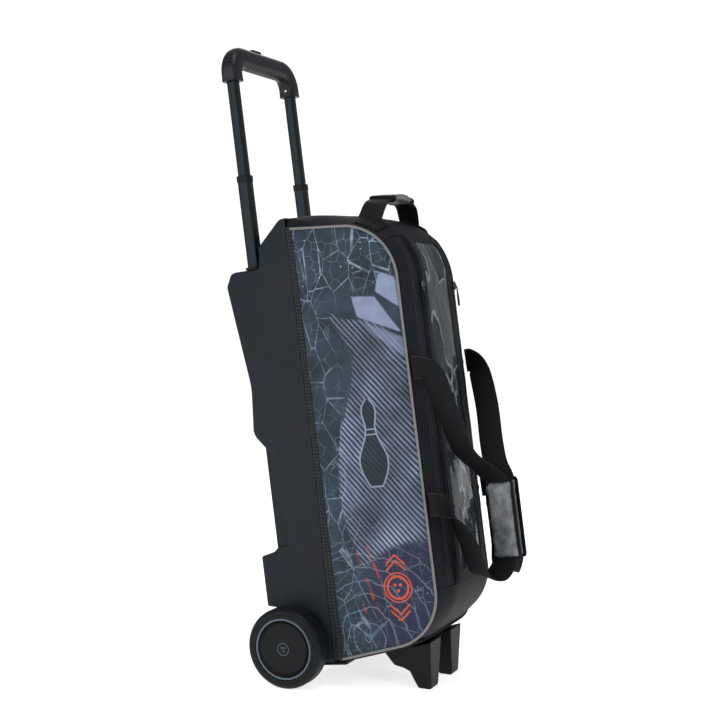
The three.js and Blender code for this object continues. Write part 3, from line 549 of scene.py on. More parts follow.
def piping_cord():
    """Pale piping: a slanted ribbed weave whose gaps are painted darker as painted shade, and a little
    soil.
    """
    look = Look("piping_cord")
    place = look.place()
    x, y, z = look.axes(place)
    slant = (z + y + x * 0.7).wave(1.7)
    soil = look.noise(place, 16, detail=5, roughness=0.65)
    base = Vector(colours().piping)
    # The gaps between the ribs are painted darker as painted shade.
    tone = look.mix(slant.rise(-1.0, 0.6), opaque(base * 0.72), opaque(base * 1.08))
    tone = look.mix(soil.rise(0.45, 0.8) * 0.45, tone, opaque(Vector((0.17, 0.168, 0.172))))
    return look.surface(tone, 0.55, Normal=look.bump(slant, 0.0003, 0.6))


def melange_cloth():
    """Grey heather cloth: dark and light fibres, drawn slightly along the weave."""
    look = Look("melange_cloth")
    place = look.place()
    weave = look.weave(place, 1.3)
    fibres = look.noise(place, 1.1, detail=4, roughness=0.7, stretch=(1.6, 1.6, 0.55))
    cloud = look.noise(place, 30, detail=2)
    base = Vector(colours().melange)
    tone = look.mix(fibres.rise(0.3, 0.7), opaque(base * 0.7), opaque(base * 1.35))
    tone = look.mix(cloud * 0.3, tone, opaque(base * 0.8))
    return look.surface(tone, 0.7, Normal=look.bump(weave, 0.0002, 0.5), Sheen_Weight=0.05)


def clear_vinyl():
    """Glossy film with painted reflections: patches painted lighter and more opaque, with bright edges,
    stand for light reflected by the film.
    """
    look = Look("clear_vinyl")
    place = look.place()
    x, _, z = look.axes(place)
    drift = look.noise(place, 70, detail=2)
    patch_noise = look.noise(place, 74, detail=2.5, roughness=0.42, stretch=(1.5, 1.0, 0.5))
    reflection_border = patch_noise - 0.52 + (x / 46) * 0.05
    lifted = reflection_border.rise(-0.006, 0.006)
    edge = reflection_border.line(0.004, 0.010)
    # Painted reflections: the lifted patches are painted lighter and their edges bright; the same masks
    # make the film rougher and more opaque.
    tone = look.mix(lifted, (0.020, 0.024, 0.029, 1), (0.050, 0.058, 0.067, 1))
    tone = look.mix(drift.rise(0.55, 0.75) * 0.4, tone, (0.030, 0.027, 0.027, 1))
    tone = look.mix(edge * 0.7, tone, (0.24, 0.28, 0.31, 1))
    veil = 0.30 + lifted * 0.34 + edge * 0.3
    waves = look.noise(look.vector(x, 0.0, z), 26, detail=2)
    return look.surface(
        tone,
        0.07 + lifted * 0.10,
        Alpha=veil,
        Normal=look.bump(waves, 0.0012, 0.35),
        Coat_Weight=0.6,
        Coat_Roughness=0.04,
    )


def silver_cloth():
    """Coated silver-grey cloth: crinkled and satin-bright, its crinkles painted lighter and darker as
    painted light and shade, with a few soft painted brown reflections.
    """
    look = Look("silver_cloth")
    place = look.place()
    crease = look.noise(place, 15, detail=4, roughness=0.6)
    weave = look.weave(place, 0.9)
    base = Vector(colours().silver)
    # Painted light and shade: the crinkle height makes the colour lighter and darker.
    tone = look.mix(crease.rise(0.3, 0.7), opaque(base * 0.55), opaque(base * 1.25))
    # Painted reflections: soft brown patches.
    tint = look.noise(place, 34, detail=2).rise(0.52, 0.7)
    tone = look.mix(tint * 0.35, tone, (0.115, 0.095, 0.09, 1))
    normal = look.bump(weave, 0.00012, 0.5)
    return look.surface(
        tone,
        0.30 + crease * 0.18,
        Metallic=0.45,
        Normal=look.bump(crease, 0.004, 0.45, normal),
    )


def foam():
    """Closed-cell foam with small pits."""
    look = Look("cradle_foam")
    place = look.place()
    pits = look.cells(place, 2.4)
    mottle = look.noise(place, 20, detail=3)
    tone = look.mix(mottle, (0.020, 0.021, 0.023, 1), (0.045, 0.047, 0.05, 1))
    return look.surface(tone, 0.9, Normal=look.bump(pits.rise(0.0, 0.3), 0.0004, 0.6))


def printed_cloth():
    """The side panels' print, laid out in the panel's own length and depth.

    A pale network over slate at the top and the back, lavender patches, slanted pinstripes, an
    indigo corner with ripples, a ninepin outline and a red ball emblem, on a satin weave.
    """
    look = Look("printed_cloth")
    tint = colours()
    place = look.place()
    _, y, z = look.axes(place)
    flat = look.vector(y, z, 0.0)
    wobble = look.noise(flat, 38, detail=3) - 0.5
    fine = look.noise(flat, 7, detail=4) - 0.5

    def half(y0, z0, y1, z1, soft=1.5):
        """1 on the left of the line from the first point to the second, fading over soft."""
        length = math.hypot(y1 - y0, z1 - z0)
        ny, nz = -(z1 - z0) / length, (y1 - y0) / length
        return (y * ny + z * nz - (y0 * ny + z0 * nz) + fine * 2.0).rise(-soft, soft)

    def patch(*corners, soft=1.5):
        mask = half(*corners[-1], *corners[0], soft=soft)
        for first, second in zip(corners, corners[1:]):
            mask = mask * half(*first, *second, soft=soft)
        return mask

    def edge_from(axis, low, high, start, end, levels):
        """A border that runs through evenly spaced levels as an axis goes from low to high."""
        stops = [(k / (len(levels) - 1), (v - start) / (end - start)) for k, v in enumerate(levels)]
        factor = (axis - low) / (high - low)
        ramp = look.node("ShaderNodeValToRGB", {"stops": stops}, {"Fac": factor})
        return ramp * (end - start) + start

    slate = Vector(tint.print_slate)
    lavender = Vector(tint.print_lavender)
    indigo = Vector(tint.print_indigo)
    cloud = look.noise(flat, 60, detail=4)
    ground = look.mix(cloud.rise(0.25, 0.75), opaque(slate * 0.5), opaque(slate * 1.3))

    # Pinstripes, between an uneven left border and the patches above.
    left = edge_from(z, 113, 499, -170, -105, [-139, -120, -112, -118, -128, -152, -163, -135])
    above = edge_from(y, -251, -120, 430, 520, [440, 478, 496, 500, 512])
    below = edge_from(y, -251, -120, 90, 170, [150, 149, 141, 122, 96])
    striped = (left - y + wobble * 10).rise(-2, 3) * (above - z + wobble * 14).rise(-2, 3)
    striped = striped * (z - below + wobble * 12).rise(-6, 8)
    slope = math.radians(52)
    run = y * math.sin(slope) - z * math.cos(slope)
    width = look.noise(flat, 46, detail=2)
    stripe = (run + wobble * 3).wave(6.6).rise(-0.55, 0.25) * (0.45 + width.rise(0.3, 0.7) * 0.55)
    gloom = look.noise(flat, 85, detail=2).rise(0.35, 0.7)
    pale = look.mix(gloom, opaque(lavender * 0.6), opaque(lavender * 1.3))
    dark = look.mix(gloom, opaque(slate * 0.3), opaque(slate * 0.7))
    cloth = look.mix(striped, ground, look.mix(stripe, dark, pale))

    # Pale patches over the stripes.
    upper = patch((-173, 531), (-212, 526), (-247, 468), (-179, 499))
    corner = patch((-222, 560), (-247, 552), (-250, 505), (-214, 534))
    lower = patch((-190, 490), (-252, 458), (-252, 428), (-204, 468), soft=3)
    shade = look.noise(flat, 24, detail=3)
    glow = look.mix(shade, opaque(lavender * 0.75), opaque(lavender * 1.5))
    cloth = look.mix((upper.either(corner) * 0.92).either(lower * 0.55), cloth, glow)

    # Indigo corner below, with ripples about a point near the low back corner.
    deep = (below - z + wobble * 14).rise(-8, 10) * (y * -1 + wobble * 18).rise(118, 165)
    cloth = look.mix(deep, cloth, look.mix(cloud, opaque(indigo * 0.5), opaque(indigo * 1.1)))
    source = {0: flat, 1: (-133, 5, 0)}
    away = look.node("ShaderNodeVectorMath", {"operation": "DISTANCE"}, source, output=1)
    low = z.rise(215, 120)
    ripples = (away + wobble * 22).wave(21).rise(0.93, 0.985) * low * away.rise(205, 120)

    # A pale network with brighter knots.
    bent = look.node(
        "ShaderNodeMix",
        {"data_type": "VECTOR"},
        {0: 0.06, 4: flat, 5: look.noise_colour(flat, 30)},
        output=1,
    )
    turned = {"Vector": bent, "Rotation": (0, 0, 0.7), "Scale": (1, 0.55, 1)}
    drawn = look.node("ShaderNodeMapping", None, turned)
    coarse = look.cells(drawn, 30).rise(0.020, 0.006)
    narrow = look.cells(bent, 21).rise(0.022, 0.007)
    fading = look.noise(flat, 16, detail=3).rise(0.36, 0.62) * 0.75 + 0.25
    knots = look.cells(flat, 13, feature="F1").rise(0.085, 0.05)
    top = (z + wobble * 40).rise(515, 560)
    back = (y + wobble * 26).rise(-150, -122) * z.rise(640, 610)
    covered = top.either(back * 0.75).either(low * 0.3) + 0.08
    network = (coarse * 0.85).either(narrow * 0.4) * fading * covered
    network = network.either(ripples * 0.35)
    cloth = look.mix(network * 0.85, cloth, (0.27, 0.33, 0.43, 1))
    cloth = look.mix(knots * (top * 0.9).either(low * 0.45), cloth, (0.62, 0.68, 0.80, 1))

    # A ninepin in outline on a dark field.
    pin_y, pin_low, pin_high = -178.0, 238.0, 372.0
    profile = [0.42, 0.66, 0.86, 0.98, 1.0, 0.9, 0.7, 0.5, 0.37, 0.33, 0.42, 0.5, 0.44, 0.12]
    girth = edge_from(z, pin_low, pin_high, 0, 24, [24 * r for r in profile])
    reach = girth - abs(y - pin_y)
    body = reach.rise(-0.6, 0.6) * z.rise(pin_low - 1, pin_low + 1) * z.rise(pin_high + 1, pin_high - 1)
    rim = reach.line(0.9, 0.7) * z.rise(pin_low - 1, pin_low) * z.rise(pin_high + 1, pin_high)
    foot = (z - pin_low).line(0.8, 0.7) * reach.rise(-0.6, 0.2)
    belt = ((z - 318).line(0.7, 0.6)).either((z - 326).line(0.7, 0.6)) * reach.rise(-0.4, 0.4)
    cloth = look.mix(body * 0.9, cloth, opaque(slate * 0.45))
    cloth = look.mix(rim.either(foot).either(belt) * 0.85, cloth, (0.24, 0.29, 0.38, 1))

    # A red ball emblem: a ring, three finger holes and short arrowheads above and below.
    ball_y, ball_z = -192.0, 82.0
    centre = {0: flat, 1: (ball_y, ball_z, 0)}
    from_ball = look.node("ShaderNodeVectorMath", {"operation": "DISTANCE"}, centre, output=1)
    mark = (from_ball - 17).line(1.5, 0.5).either((from_ball - 22.5).line(0.7, 0.5))
    for hole_y, hole_z in ((-4.5, 4), (4.5, 4), (0, -5)):
        spot = {0: flat, 1: (ball_y + hole_y, ball_z + hole_z, 0)}
        to_hole = look.node("ShaderNodeVectorMath", {"operation": "DISTANCE"}, spot, output=1)
        mark = mark.either(to_hole.rise(2.8, 2.2))
    for tip, way in ((132, -1), (123, -1), (32, 1), (41, 1)):
        bar = (z - tip - abs(y - ball_y) * way * 0.9).line(1.5, 0.5)
        mark = mark.either(bar * (y - ball_y).line(16, 0.6))
    strokes = (run + z * 0.4).wave(17).rise(0.55, 0.8) * (y + 150).line(17, 6) * (z - 96).line(46, 10)
    fade = look.noise(flat, 11, detail=3).rise(0.4, 0.62)
    red = look.mix(cloud, opaque(Vector(tint.emblem) * 0.8), opaque(Vector(tint.emblem) * 1.15))
    cloth = look.mix(mark, cloth, red)
    cloth = look.mix(strokes * fade * 0.42, cloth, red)

    weave = look.weave(place, 0.95)
    return look.surface(
        cloth,
        0.44 + weave * 0.12,
        Normal=look.bump(weave, 0.00012, 0.4),
        Sheen_Weight=0.02,
    )


FINISHES = {}


def finish(maker):
    """A material, made once."""
    if maker not in FINISHES:
        FINISHES[maker] = maker()
    return FINISHES[maker]


# ---- meshes -------------------------------------------------------------------------------------


class Shape:
    """Closed bodies gathered into one mesh. Each is turned to face outwards as it is added."""

    def __init__(self):
        self.vertices = []
        self.faces = []
        self.uvs = []

    def add(self, body):
        vertices, faces, uvs = body
        volume = 0.0
        for face in faces:
            for k in range(1, len(face) - 1):
                a, b, c = vertices[face[0]], vertices[face[k]], vertices[face[k + 1]]
                volume += a.dot(b.cross(c))
        if volume < 0:
            faces = [tuple(reversed(face)) for face in faces]
        start = len(self.vertices)
        self.vertices.extend(vertices)
        self.faces.extend(tuple(start + k for k in face) for face in faces)
        self.uvs.extend(uvs)
        return self

    def piece(self, name, maker, sharp=35.0):
        mesh = bpy.data.meshes.new(name)
        mesh.from_pydata([tuple(v) for v in self.vertices], [], self.faces)
        layer = mesh.uv_layers.new(name="UVMap")
        for loop in mesh.loops:
            layer.data[loop.index].uv = self.uvs[loop.vertex_index]
        return placed(mesh, name, maker, sharp)


def placed(mesh, name, maker, sharp=35.0):
    mesh.name = name
    mesh.shade_smooth()
    mesh.set_sharp_from_angle(angle=math.radians(sharp))
    mesh.materials.clear()
    mesh.materials.append(finish(maker))
    made = bpy.data.objects.new(name, mesh)
    bpy.context.scene.collection.objects.link(made)
    return made


def dress(piece, body, slot, *nodes):
    """Puts a finished piece on its body and hides the CAD nodes that it stands for; its slot is not
    used.
    """
    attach(piece, body)
    if nodes:
        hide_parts(*nodes)
    return piece


def plain(maker, *nodes):
    """Gives CAD nodes whose shape is right a better material."""
    for node in nodes:
        slots = frame["nodes"][node].data.materials
        slots.clear()
        slots.append(finish(maker))


def loft(rings, closed=False):
    """A body through rings of equal length, capped unless it closes on itself."""
    size = len(rings[0])
    vertices = [point for ring in rings for point in ring]
    faces = []
    steps = len(rings) if closed else len(rings) - 1
    for k in range(steps):
        here = k * size
        there = ((k + 1) % len(rings)) * size
        for i in range(size):
            j = (i + 1) % size
            faces.append((here + i, here + j, there + j, there + i))
    if not closed:
        last = (len(rings) - 1) * size
        faces.append(tuple(reversed(range(size))))
        faces.append(tuple(range(last, last + size)))
    along = 0.0
    uvs = []
    for k, ring in enumerate(rings):
        if k:
            along += (ring[0] - rings[k - 1][0]).length
        around = 0.0
        for i, point in enumerate(ring):
            if i:
                around += (point - ring[i - 1]).length
            uvs.append((around, along))
    return vertices, faces, uvs


def slab(us, vs, point):
    """A sheet with two faces: point(u, v, depth) with depth 0 outside and 1 inside."""
    across = len(us)
    count = across * len(vs)
    vertices = [point(u, v, depth) for depth in (0, 1) for v in vs for u in us]
    uvs = [(u, v) for _ in (0, 1) for v in vs for u in us]
    faces = []
    for j in range(len(vs) - 1):
        for i in range(across - 1):
            a = j * across + i
            quad = (a, a + 1, a + 1 + across, a + across)
            faces.append(quad)
            faces.append(tuple(count + k for k in reversed(quad)))
    low = list(range(across))
    high = [(len(vs) - 1) * across + i for i in range(across)]
    first = [j * across for j in range(len(vs))]
    last = [j * across + across - 1 for j in range(len(vs))]
    for line, turn in ((low, True), (high, False), (first, False), (last, True)):
        for a, b in zip(line, line[1:]):
            quad = (a, b, b + count, a + count)
            faces.append(tuple(reversed(quad)) if turn else quad)
    return vertices, faces, uvs


def spread(start, end, step):
    """Values from start to end, about step apart."""
    count = max(1, round(abs(end - start) / step))
    return [start + (end - start) * k / count for k in range(count + 1)]


def travelled(points):
    """Distance from the first point to each point of a line."""
    total = [0.0]
    for before, after in zip(points, points[1:]):
        total.append(total[-1] + (after - before).length)
    return total


def resample(points, step):
    """The same line with points about step apart."""
    along = travelled(points)
    places = spread(0.0, along[-1], step)
    line = []
    k = 0
    for place in places:
        while k < len(along) - 2 and along[k + 1] < place:
            k += 1
        share = (place - along[k]) / max(along[k + 1] - along[k], 1e-9)
        line.append(points[k].lerp(points[k + 1], share))
    return line


def tangents(points):
    """Direction along a line at each of its points."""
    last = len(points) - 1
    return [(points[min(k + 1, last)] - points[max(k - 1, 0)]).normalized() for k in range(last + 1)]


def tube(points, radius, sides=12, flat=1.0):
    """A round cord along a line, with rounded ends; flat squeezes its section."""
    ways = tangents(points)
    side = ways[0].orthogonal().normalized()
    rings = []
    ends = ((0.35, 0.75), (0.75, 0.35))

    def ring(centre, way, size):
        up = way.cross(side).normalized()
        turns = [2 * math.pi * k / sides for k in range(sides)]
        round_it = [side * math.cos(t) + up * (math.sin(t) * flat) for t in turns]
        return [centre + spoke * (radius * size) for spoke in round_it]

    for k, (centre, way) in enumerate(zip(points, ways)):
        side = (side - way * side.dot(way)).normalized()
        if k == 0:
            rings.extend(ring(centre - way * (radius * back), way, size) for size, back in ends)
        rings.append(ring(centre, way, 1.0))
        if k == len(points) - 1:
            rings.extend(ring(centre + way * (radius * on), way, size) for size, on in reversed(ends))
    return loft(rings)


def rounded_section(width, thick, corner, steps=3):
    """Outline points (u, v) of a rectangle with round corners."""
    points = []
    quarters = ((1, -1, -90), (1, 1, 0), (-1, 1, 90), (-1, -1, 180))
    for across, up, start in quarters:
        for k in range(steps + 1):
            turn = math.radians(start + 90 * k / steps)
            u = across * (width / 2 - corner) + corner * math.cos(turn)
            v = up * (thick / 2 - corner) + corner * math.sin(turn)
            points.append((u, v))
    return points


def smooth_line(points, per):
    """A centripetal Catmull-Rom line through points, with per steps from one to the next."""
    ends = [points[0] * 2 - points[1], *points, points[-1] * 2 - points[-2]]
    line = []
    for p0, p1, p2, p3 in zip(ends, ends[1:], ends[2:], ends[3:]):
        d0, d1, d2 = (max((b - a).length, 1e-9) ** 0.5 for a, b in ((p0, p1), (p1, p2), (p2, p3)))
        m1 = ((p1 - p0) / d0 - (p2 - p0) / (d0 + d1) + (p2 - p1) / d1) * d1
        m2 = ((p2 - p1) / d1 - (p3 - p1) / (d1 + d2) + (p3 - p2) / d2) * d1
        for k in range(per):
            t = k / per
            line.append(
                p1 * (2 * t**3 - 3 * t**2 + 1)
                + m1 * (t**3 - 2 * t**2 + t)
                + p2 * (3 * t**2 - 2 * t**3)
                + m2 * (t**3 - t**2)
            )
    line.append(points[-1].copy())
    return line


def band_rings(centres, widths, section):
    """Rings of a section (u, v) swept along a line; u lies along the width directions."""
    rings = []
    for centre, wide, way in zip(centres, widths, tangents(centres)):
        wide = (wide - way * wide.dot(way)).normalized()
        out = way.cross(wide)
        rings.append([centre + wide * u + out * v for u, v in section])
    return rings


def circle_rings(centre, profile, sides):
    """Rings about the X axis through a centre, one for each (x, radius) of a profile."""
    rings = []
    for x, radius in profile:
        turns = [2 * math.pi * k / sides for k in range(sides)]
        rings.append([centre + Vector((x, radius * math.cos(t), radius * math.sin(t))) for t in turns])
    return rings


def rounded_outline(corners, inset=0.0, steps=8):
    """A closed outline of (y, z, radius) corners with round corners; inset moves it inwards."""
    count = len(corners)
    spots = [Vector((y, z)) for y, z, _ in corners]
    area = sum(spots[i].cross(spots[(i + 1) % count]) for i in range(count))
    turn = 1 if area > 0 else -1
    edges = []
    for i in range(count):
        along = (spots[(i + 1) % count] - spots[i]).normalized()
        inward = Vector((-along.y, along.x)) * turn
        edges.append((spots[i] + inward * inset, along))
    points = []
    for i, (_, _, radius) in enumerate(corners):
        before, after = edges[i - 1], edges[i]
        cross = before[1].cross(after[1])
        shift = (after[0] - before[0]).cross(after[1]) / cross
        corner = before[0] + before[1] * shift
        convex = cross * turn > 0
        bend = before[1].angle(after[1])
        size = max(radius - inset if convex else radius + inset, 0.3 * MM)
        start = corner - before[1] * (size * math.tan(bend / 2))
        normal = Vector((-before[1].y, before[1].x)) * (1 if cross > 0 else -1)
        centre = start + normal * size
        for k in range(steps + 1):
            angle = (1 if cross > 0 else -1) * bend * k / steps
            points.append(centre + Matrix.Rotation(angle, 2) @ (start - centre))
    return points


def cad_copy(node, name, maker, edge=0.6 * MM, sharp=30.0):
    """A CAD node's shape with its flat faces merged and its edges eased."""
    mesh = frame["nodes"][node].data.copy()
    work = bmesh.new()
    work.from_mesh(mesh)
    bmesh.ops.remove_doubles(work, verts=work.verts, dist=0.01 * MM)
    bmesh.ops.dissolve_limit(
        work, angle_limit=math.radians(0.6), verts=work.verts, edges=work.edges, delimit={"NORMAL"}
    )
    work.to_mesh(mesh)
    work.free()
    made = placed(mesh, name, maker, sharp)
    if edge:
        bevel = made.modifiers.new("eased edges", "BEVEL")
        bevel.width = edge
        bevel.segments = 2
        bevel.limit_method = "ANGLE"
        bevel.angle_limit = math.radians(sharp)
        bevel.harden_normals = True
    return made


def settled(piece):
    """Applies a piece's modifiers to its mesh."""
    graph = bpy.context.evaluated_depsgraph_get()
    mesh = bpy.data.meshes.new_from_object(piece.evaluated_get(graph), depsgraph=graph)
    mesh.name = piece.name
    piece.modifiers.clear()
    piece.data = mesh
    return piece


def ruffle(point, size, seed):
    """Smooth noise from -1 to 1 with folds about size apart."""
    return noise.noise(point / size + Vector((seed, seed * 0.37, -seed)))


# ---- the seam line round the bag and its crowned skin -------------------------------------------


class Seam:
    """The line from the top's back end round the front to the bottom's back end."""

    STEP = 2.5 * MM

    def __init__(self):
        slope = TOP_FALL / (SEAM_BACK - SEAM_FRONT)
        reach = SHELL_FRONT_TOP - 3 * GAP - SEAM_BACK
        start = Vector((SEAM_BACK + reach, SEAM_TOP + reach * slope))
        corners = [
            (Vector((SEAM_FRONT, SEAM_TOP - TOP_FALL)), TOP_CORNER),
            (Vector((SEAM_FRONT, SEAM_BOTTOM + BOTTOM_RISE)), BOTTOM_CORNER),
        ]
        end = Vector((SEAM_BACK, SEAM_BOTTOM))
        stops = [start, *(spot for spot, _ in corners), end]
        line = [start]
        for k, (spot, radius) in enumerate(corners):
            before = (spot - stops[k]).normalized()
            after = (stops[k + 2] - spot).normalized()
            bend = before.angle(after)
            first = spot - before * (radius * math.tan(bend / 2))
            centre = first + Vector((-before.y, before.x)) * radius
            for turn in spread(0.0, bend, math.radians(1.5)):
                line.append(centre + Matrix.Rotation(turn, 2) @ (first - centre))
        line.append(end)
        self.points = resample(line, self.STEP)
        self.outward = [Vector((way.y, -way.x)) for way in tangents(self.points)]
        self.along = travelled(self.points)
        self.length = self.along[-1]
        self.panel_start = reach

    def spot(self, s):
        """The point (y, z) and the outward direction at a distance along the seam."""
        k = min(max(int(s / self.along[1]), 0), len(self.points) - 2)
        share = (s - self.along[k]) / (self.along[k + 1] - self.along[k])
        outward = self.outward[k].lerp(self.outward[k + 1], share)
        return self.points[k].lerp(self.points[k + 1], share), outward

    def height(self, z):
        """Distance along the seam where its front passes a height."""
        return next(s for s, point in zip(self.along, self.points) if point.y < z)


SEAM = Seam()
LID_START = SEAM.height(LID_TOP)
LID_END = SEAM.height(LID_FOOT)
TRAY_START = SEAM.height(BOTTOM_START)


def smoothstep(low, high, value):
    t = min(max((value - low) / (high - low), 0.0), 1.0)
    return t * t * (3 - 2 * t)


def crown(x, s):
    """How far the skin stands proud of the side seams."""
    edge = HALF_WIDTH - FABRIC
    beyond = max(abs(x) - LID_HALF, 0.0) / (edge - LID_HALF)
    low = smoothstep(LID_END, TRAY_START, s)
    return (CROWN + (BOTTOM_CROWN - CROWN) * low) * (1 - min(beyond, 1.0) ** 2)


def skin(x, s, proud=0.0):
    """A point on the crowned skin, or proud of it."""
    point, out = SEAM.spot(s)
    spot = point + out * (crown(x, s) + proud)
    return at(x, spot.x, spot.y)


def skin_out(x, s):
    """Outward direction of the skin."""
    _, out = SEAM.spot(s)
    lean = (crown(abs(x) + MM, s) - crown(abs(x) - MM, s)) / (2 * MM)
    side = -lean if x > 0 else lean
    return (BACK * out.x + UP * out.y + ACROSS * side).normalized()


def skin_piece(name, maker, x0, x1, s0, s1, relief, thick=FABRIC, step=3 * MM):
    """A sheet on the skin; relief(x, s) is how far its outside stands off the skin."""

    def point(x, s, depth):
        return skin(x, s, relief(x, s) - depth * thick)

    return Shape().add(slab(spread(x0, x1, step), spread(s0, s1, step), point)).piece(name, maker)


# ---- rows of small things along paths -----------------------------------------------------------


def row_tree():
    """A geometry node tree that sets a small solid at each step along the edges of a mesh."""
    tree = bpy.data.node_groups.new("row_along_path", "GeometryNodeTree")
    graph = Graph(tree)
    inputs = {}
    kinds = (
        ("Geometry", "NodeSocketGeometry"),
        ("Pitch", "NodeSocketFloat"),
        ("Size", "NodeSocketVector"),
        ("Wander", "NodeSocketVector"),
        ("Square", "NodeSocketBool"),
        ("Material", "NodeSocketMaterial"),
    )
    for name, kind in kinds:
        inputs[name] = tree.interface.new_socket(name, in_out="INPUT", socket_type=kind).identifier
    tree.interface.new_socket("Geometry", in_out="OUTPUT", socket_type="NodeSocketGeometry")
    names = tuple(name for name, _ in kinds)
    path, pitch, size, wander, square, material = graph.node("NodeGroupInput", output=names)
    curve = graph.node("GeometryNodeMeshToCurve", None, {"Mesh": path})
    curve = graph.node(
        "GeometryNodeResampleCurve", {"mode": "LENGTH"}, {"Curve": curve, "Length": pitch}
    )
    outward = graph.node(
        "GeometryNodeInputNamedAttribute", {"data_type": "FLOAT_VECTOR"}, {"Name": "outward"}
    )
    way = graph.node("GeometryNodeInputTangent")
    turned = graph.node("FunctionNodeAlignRotationToVector", {"axis": "Z"}, {"Vector": outward})
    turned = graph.node(
        "FunctionNodeAlignRotationToVector",
        {"axis": "X", "pivot_axis": "Z"},
        {"Rotation": turned, "Vector": way},
    )
    bead = graph.node("GeometryNodeMeshIcoSphere", None, {"Radius": 0.5, "Subdivisions": 1})
    block = graph.node("GeometryNodeMeshCube", None, {"Size": (1, 1, 1)})
    solid = graph.node(
        "GeometryNodeSwitch",
        {"input_type": "GEOMETRY"},
        {"Switch": square, "False": bead, "True": block},
    )
    rows = graph.node(
        "GeometryNodeInstanceOnPoints",
        None,
        {"Points": curve, "Instance": solid, "Rotation": turned, "Scale": size},
    )
    backwards = graph.node(
        "ShaderNodeVectorMath", {"operation": "SCALE"}, {0: wander, "Scale": -1.0}
    )
    stray = graph.node(
        "FunctionNodeRandomValue",
        {"data_type": "FLOAT_VECTOR"},
        {0: backwards, 1: wander, "Seed": 7},
    )
    rows = graph.node(
        "GeometryNodeTranslateInstances", None, {"Instances": rows, "Translation": stray}
    )
    rows = graph.node("GeometryNodeRealizeInstances", None, {"Geometry": rows})
    rows = graph.node("GeometryNodeSetMaterial", None, {"Geometry": rows, "Material": material})
    graph.node("NodeGroupOutput", None, {"Geometry": rows})
    return tree, inputs


ROWS = []


def row_piece(name, maker, paths, pitch, size, wander=(0, 0, 0), square=False):
    """Small solids along paths; each path is a list of (point, outward direction)."""
    if not ROWS:
        ROWS.extend(row_tree())
    tree, inputs = ROWS
    vertices = [point for path in paths for point, _ in path]
    edges = []
    start = 0
    for path in paths:
        edges.extend((start + k, start + k + 1) for k in range(len(path) - 1))
        start += len(path)
    mesh = bpy.data.meshes.new(name)
    mesh.from_pydata([tuple(v) for v in vertices], edges, [])
    outward = mesh.attributes.new("outward", "FLOAT_VECTOR", "POINT")
    for k, (_, out) in enumerate(pair for path in paths for pair in path):
        outward.data[k].vector = out
    guide = bpy.data.objects.new(name + "_path", mesh)
    bpy.context.scene.collection.objects.link(guide)
    rows = guide.modifiers.new("rows", "NODES")
    rows.node_group = tree
    rows[inputs["Pitch"]] = pitch
    rows[inputs["Size"]] = size
    rows[inputs["Wander"]] = wander
    rows[inputs["Square"]] = square
    rows[inputs["Material"]] = finish(maker)
    graph = bpy.context.evaluated_depsgraph_get()
    made = bpy.data.meshes.new_from_object(guide.evaluated_get(graph), depsgraph=graph)
    bpy.data.objects.remove(guide)
    return placed(made, name, maker, 60.0)


def skin_path(x, s0, s1, proud):
    """A path on the skin at one distance across."""
    return [(skin(x, s, proud), skin_out(x, s)) for s in spread(s0, s1, 4 * MM)]


# ---- blown-up pads ------------------------------------------------------------------------------


def puff(piece, voxel, most, pressure):
    """Swells a closed pad with Cloth, caps how far it moves and smooths it."""
    remesh = piece.modifiers.new("even skin", "REMESH")
    remesh.mode = "VOXEL"
    remesh.voxel_size = voxel
    settled(piece)
    before = [vertex.co.copy() for vertex in piece.data.vertices]
    cloth = piece.modifiers.new("padding", "CLOTH")
    cloth.settings.quality = 5
    cloth.settings.mass = 0.3
    cloth.settings.tension_stiffness = 12
    cloth.settings.compression_stiffness = 12
    cloth.settings.use_pressure = True
    cloth.settings.uniform_pressure_force = pressure
    cloth.settings.effector_weights.gravity = 0
    scene = bpy.context.scene
    for step in range(1, 21):
        scene.frame_set(step)
    settled(piece)
    scene.frame_set(1)
    for vertex, old in zip(piece.data.vertices, before):
        move = vertex.co - old
        if move.length > most:
            vertex.co = old + move * (most / move.length)
    rounder = piece.modifiers.new("rounder", "SUBSURF")
    rounder.levels = 1
    rounder.render_levels = 1
    settled(piece)
    piece.data.shade_smooth()
    return piece


# ---- the bag's own operators --------------------------------------------------------------------


def sizes():
    return bpy.context.scene.bag_sizes


class BAG_OT_shell(bpy.types.Operator):
    """Makes the moulded rear shell and finishes the frame inside it"""

    bl_idname = "bag.shell"
    bl_label = "Rear Shell"

    def execute(self, context):
        shell = cad_copy("rear_shell", "shell_moulding", shell_plastic, 0.8 * MM)
        dress(shell, "bag", "shell_plastic", "rear_shell")
        plain(black_plastic, "back_board", "handle_bracket")
        plain(steel, "axle")
        for side, _ in SIDES:
            plain(black_plastic, "axle_block_" + side)
            plain(tube_metal, "outer_tube_" + side)
        return {"FINISHED"}


PANEL_CORNERS = [
    (SEAM_BACK, SEAM_TOP, 1 * MM),
    (SEAM_FRONT, SEAM_TOP - TOP_FALL, TOP_CORNER),
    (SEAM_FRONT, SEAM_BOTTOM + BOTTOM_RISE, BOTTOM_CORNER),
    (SEAM_BACK, SEAM_BOTTOM, 1 * MM),
]


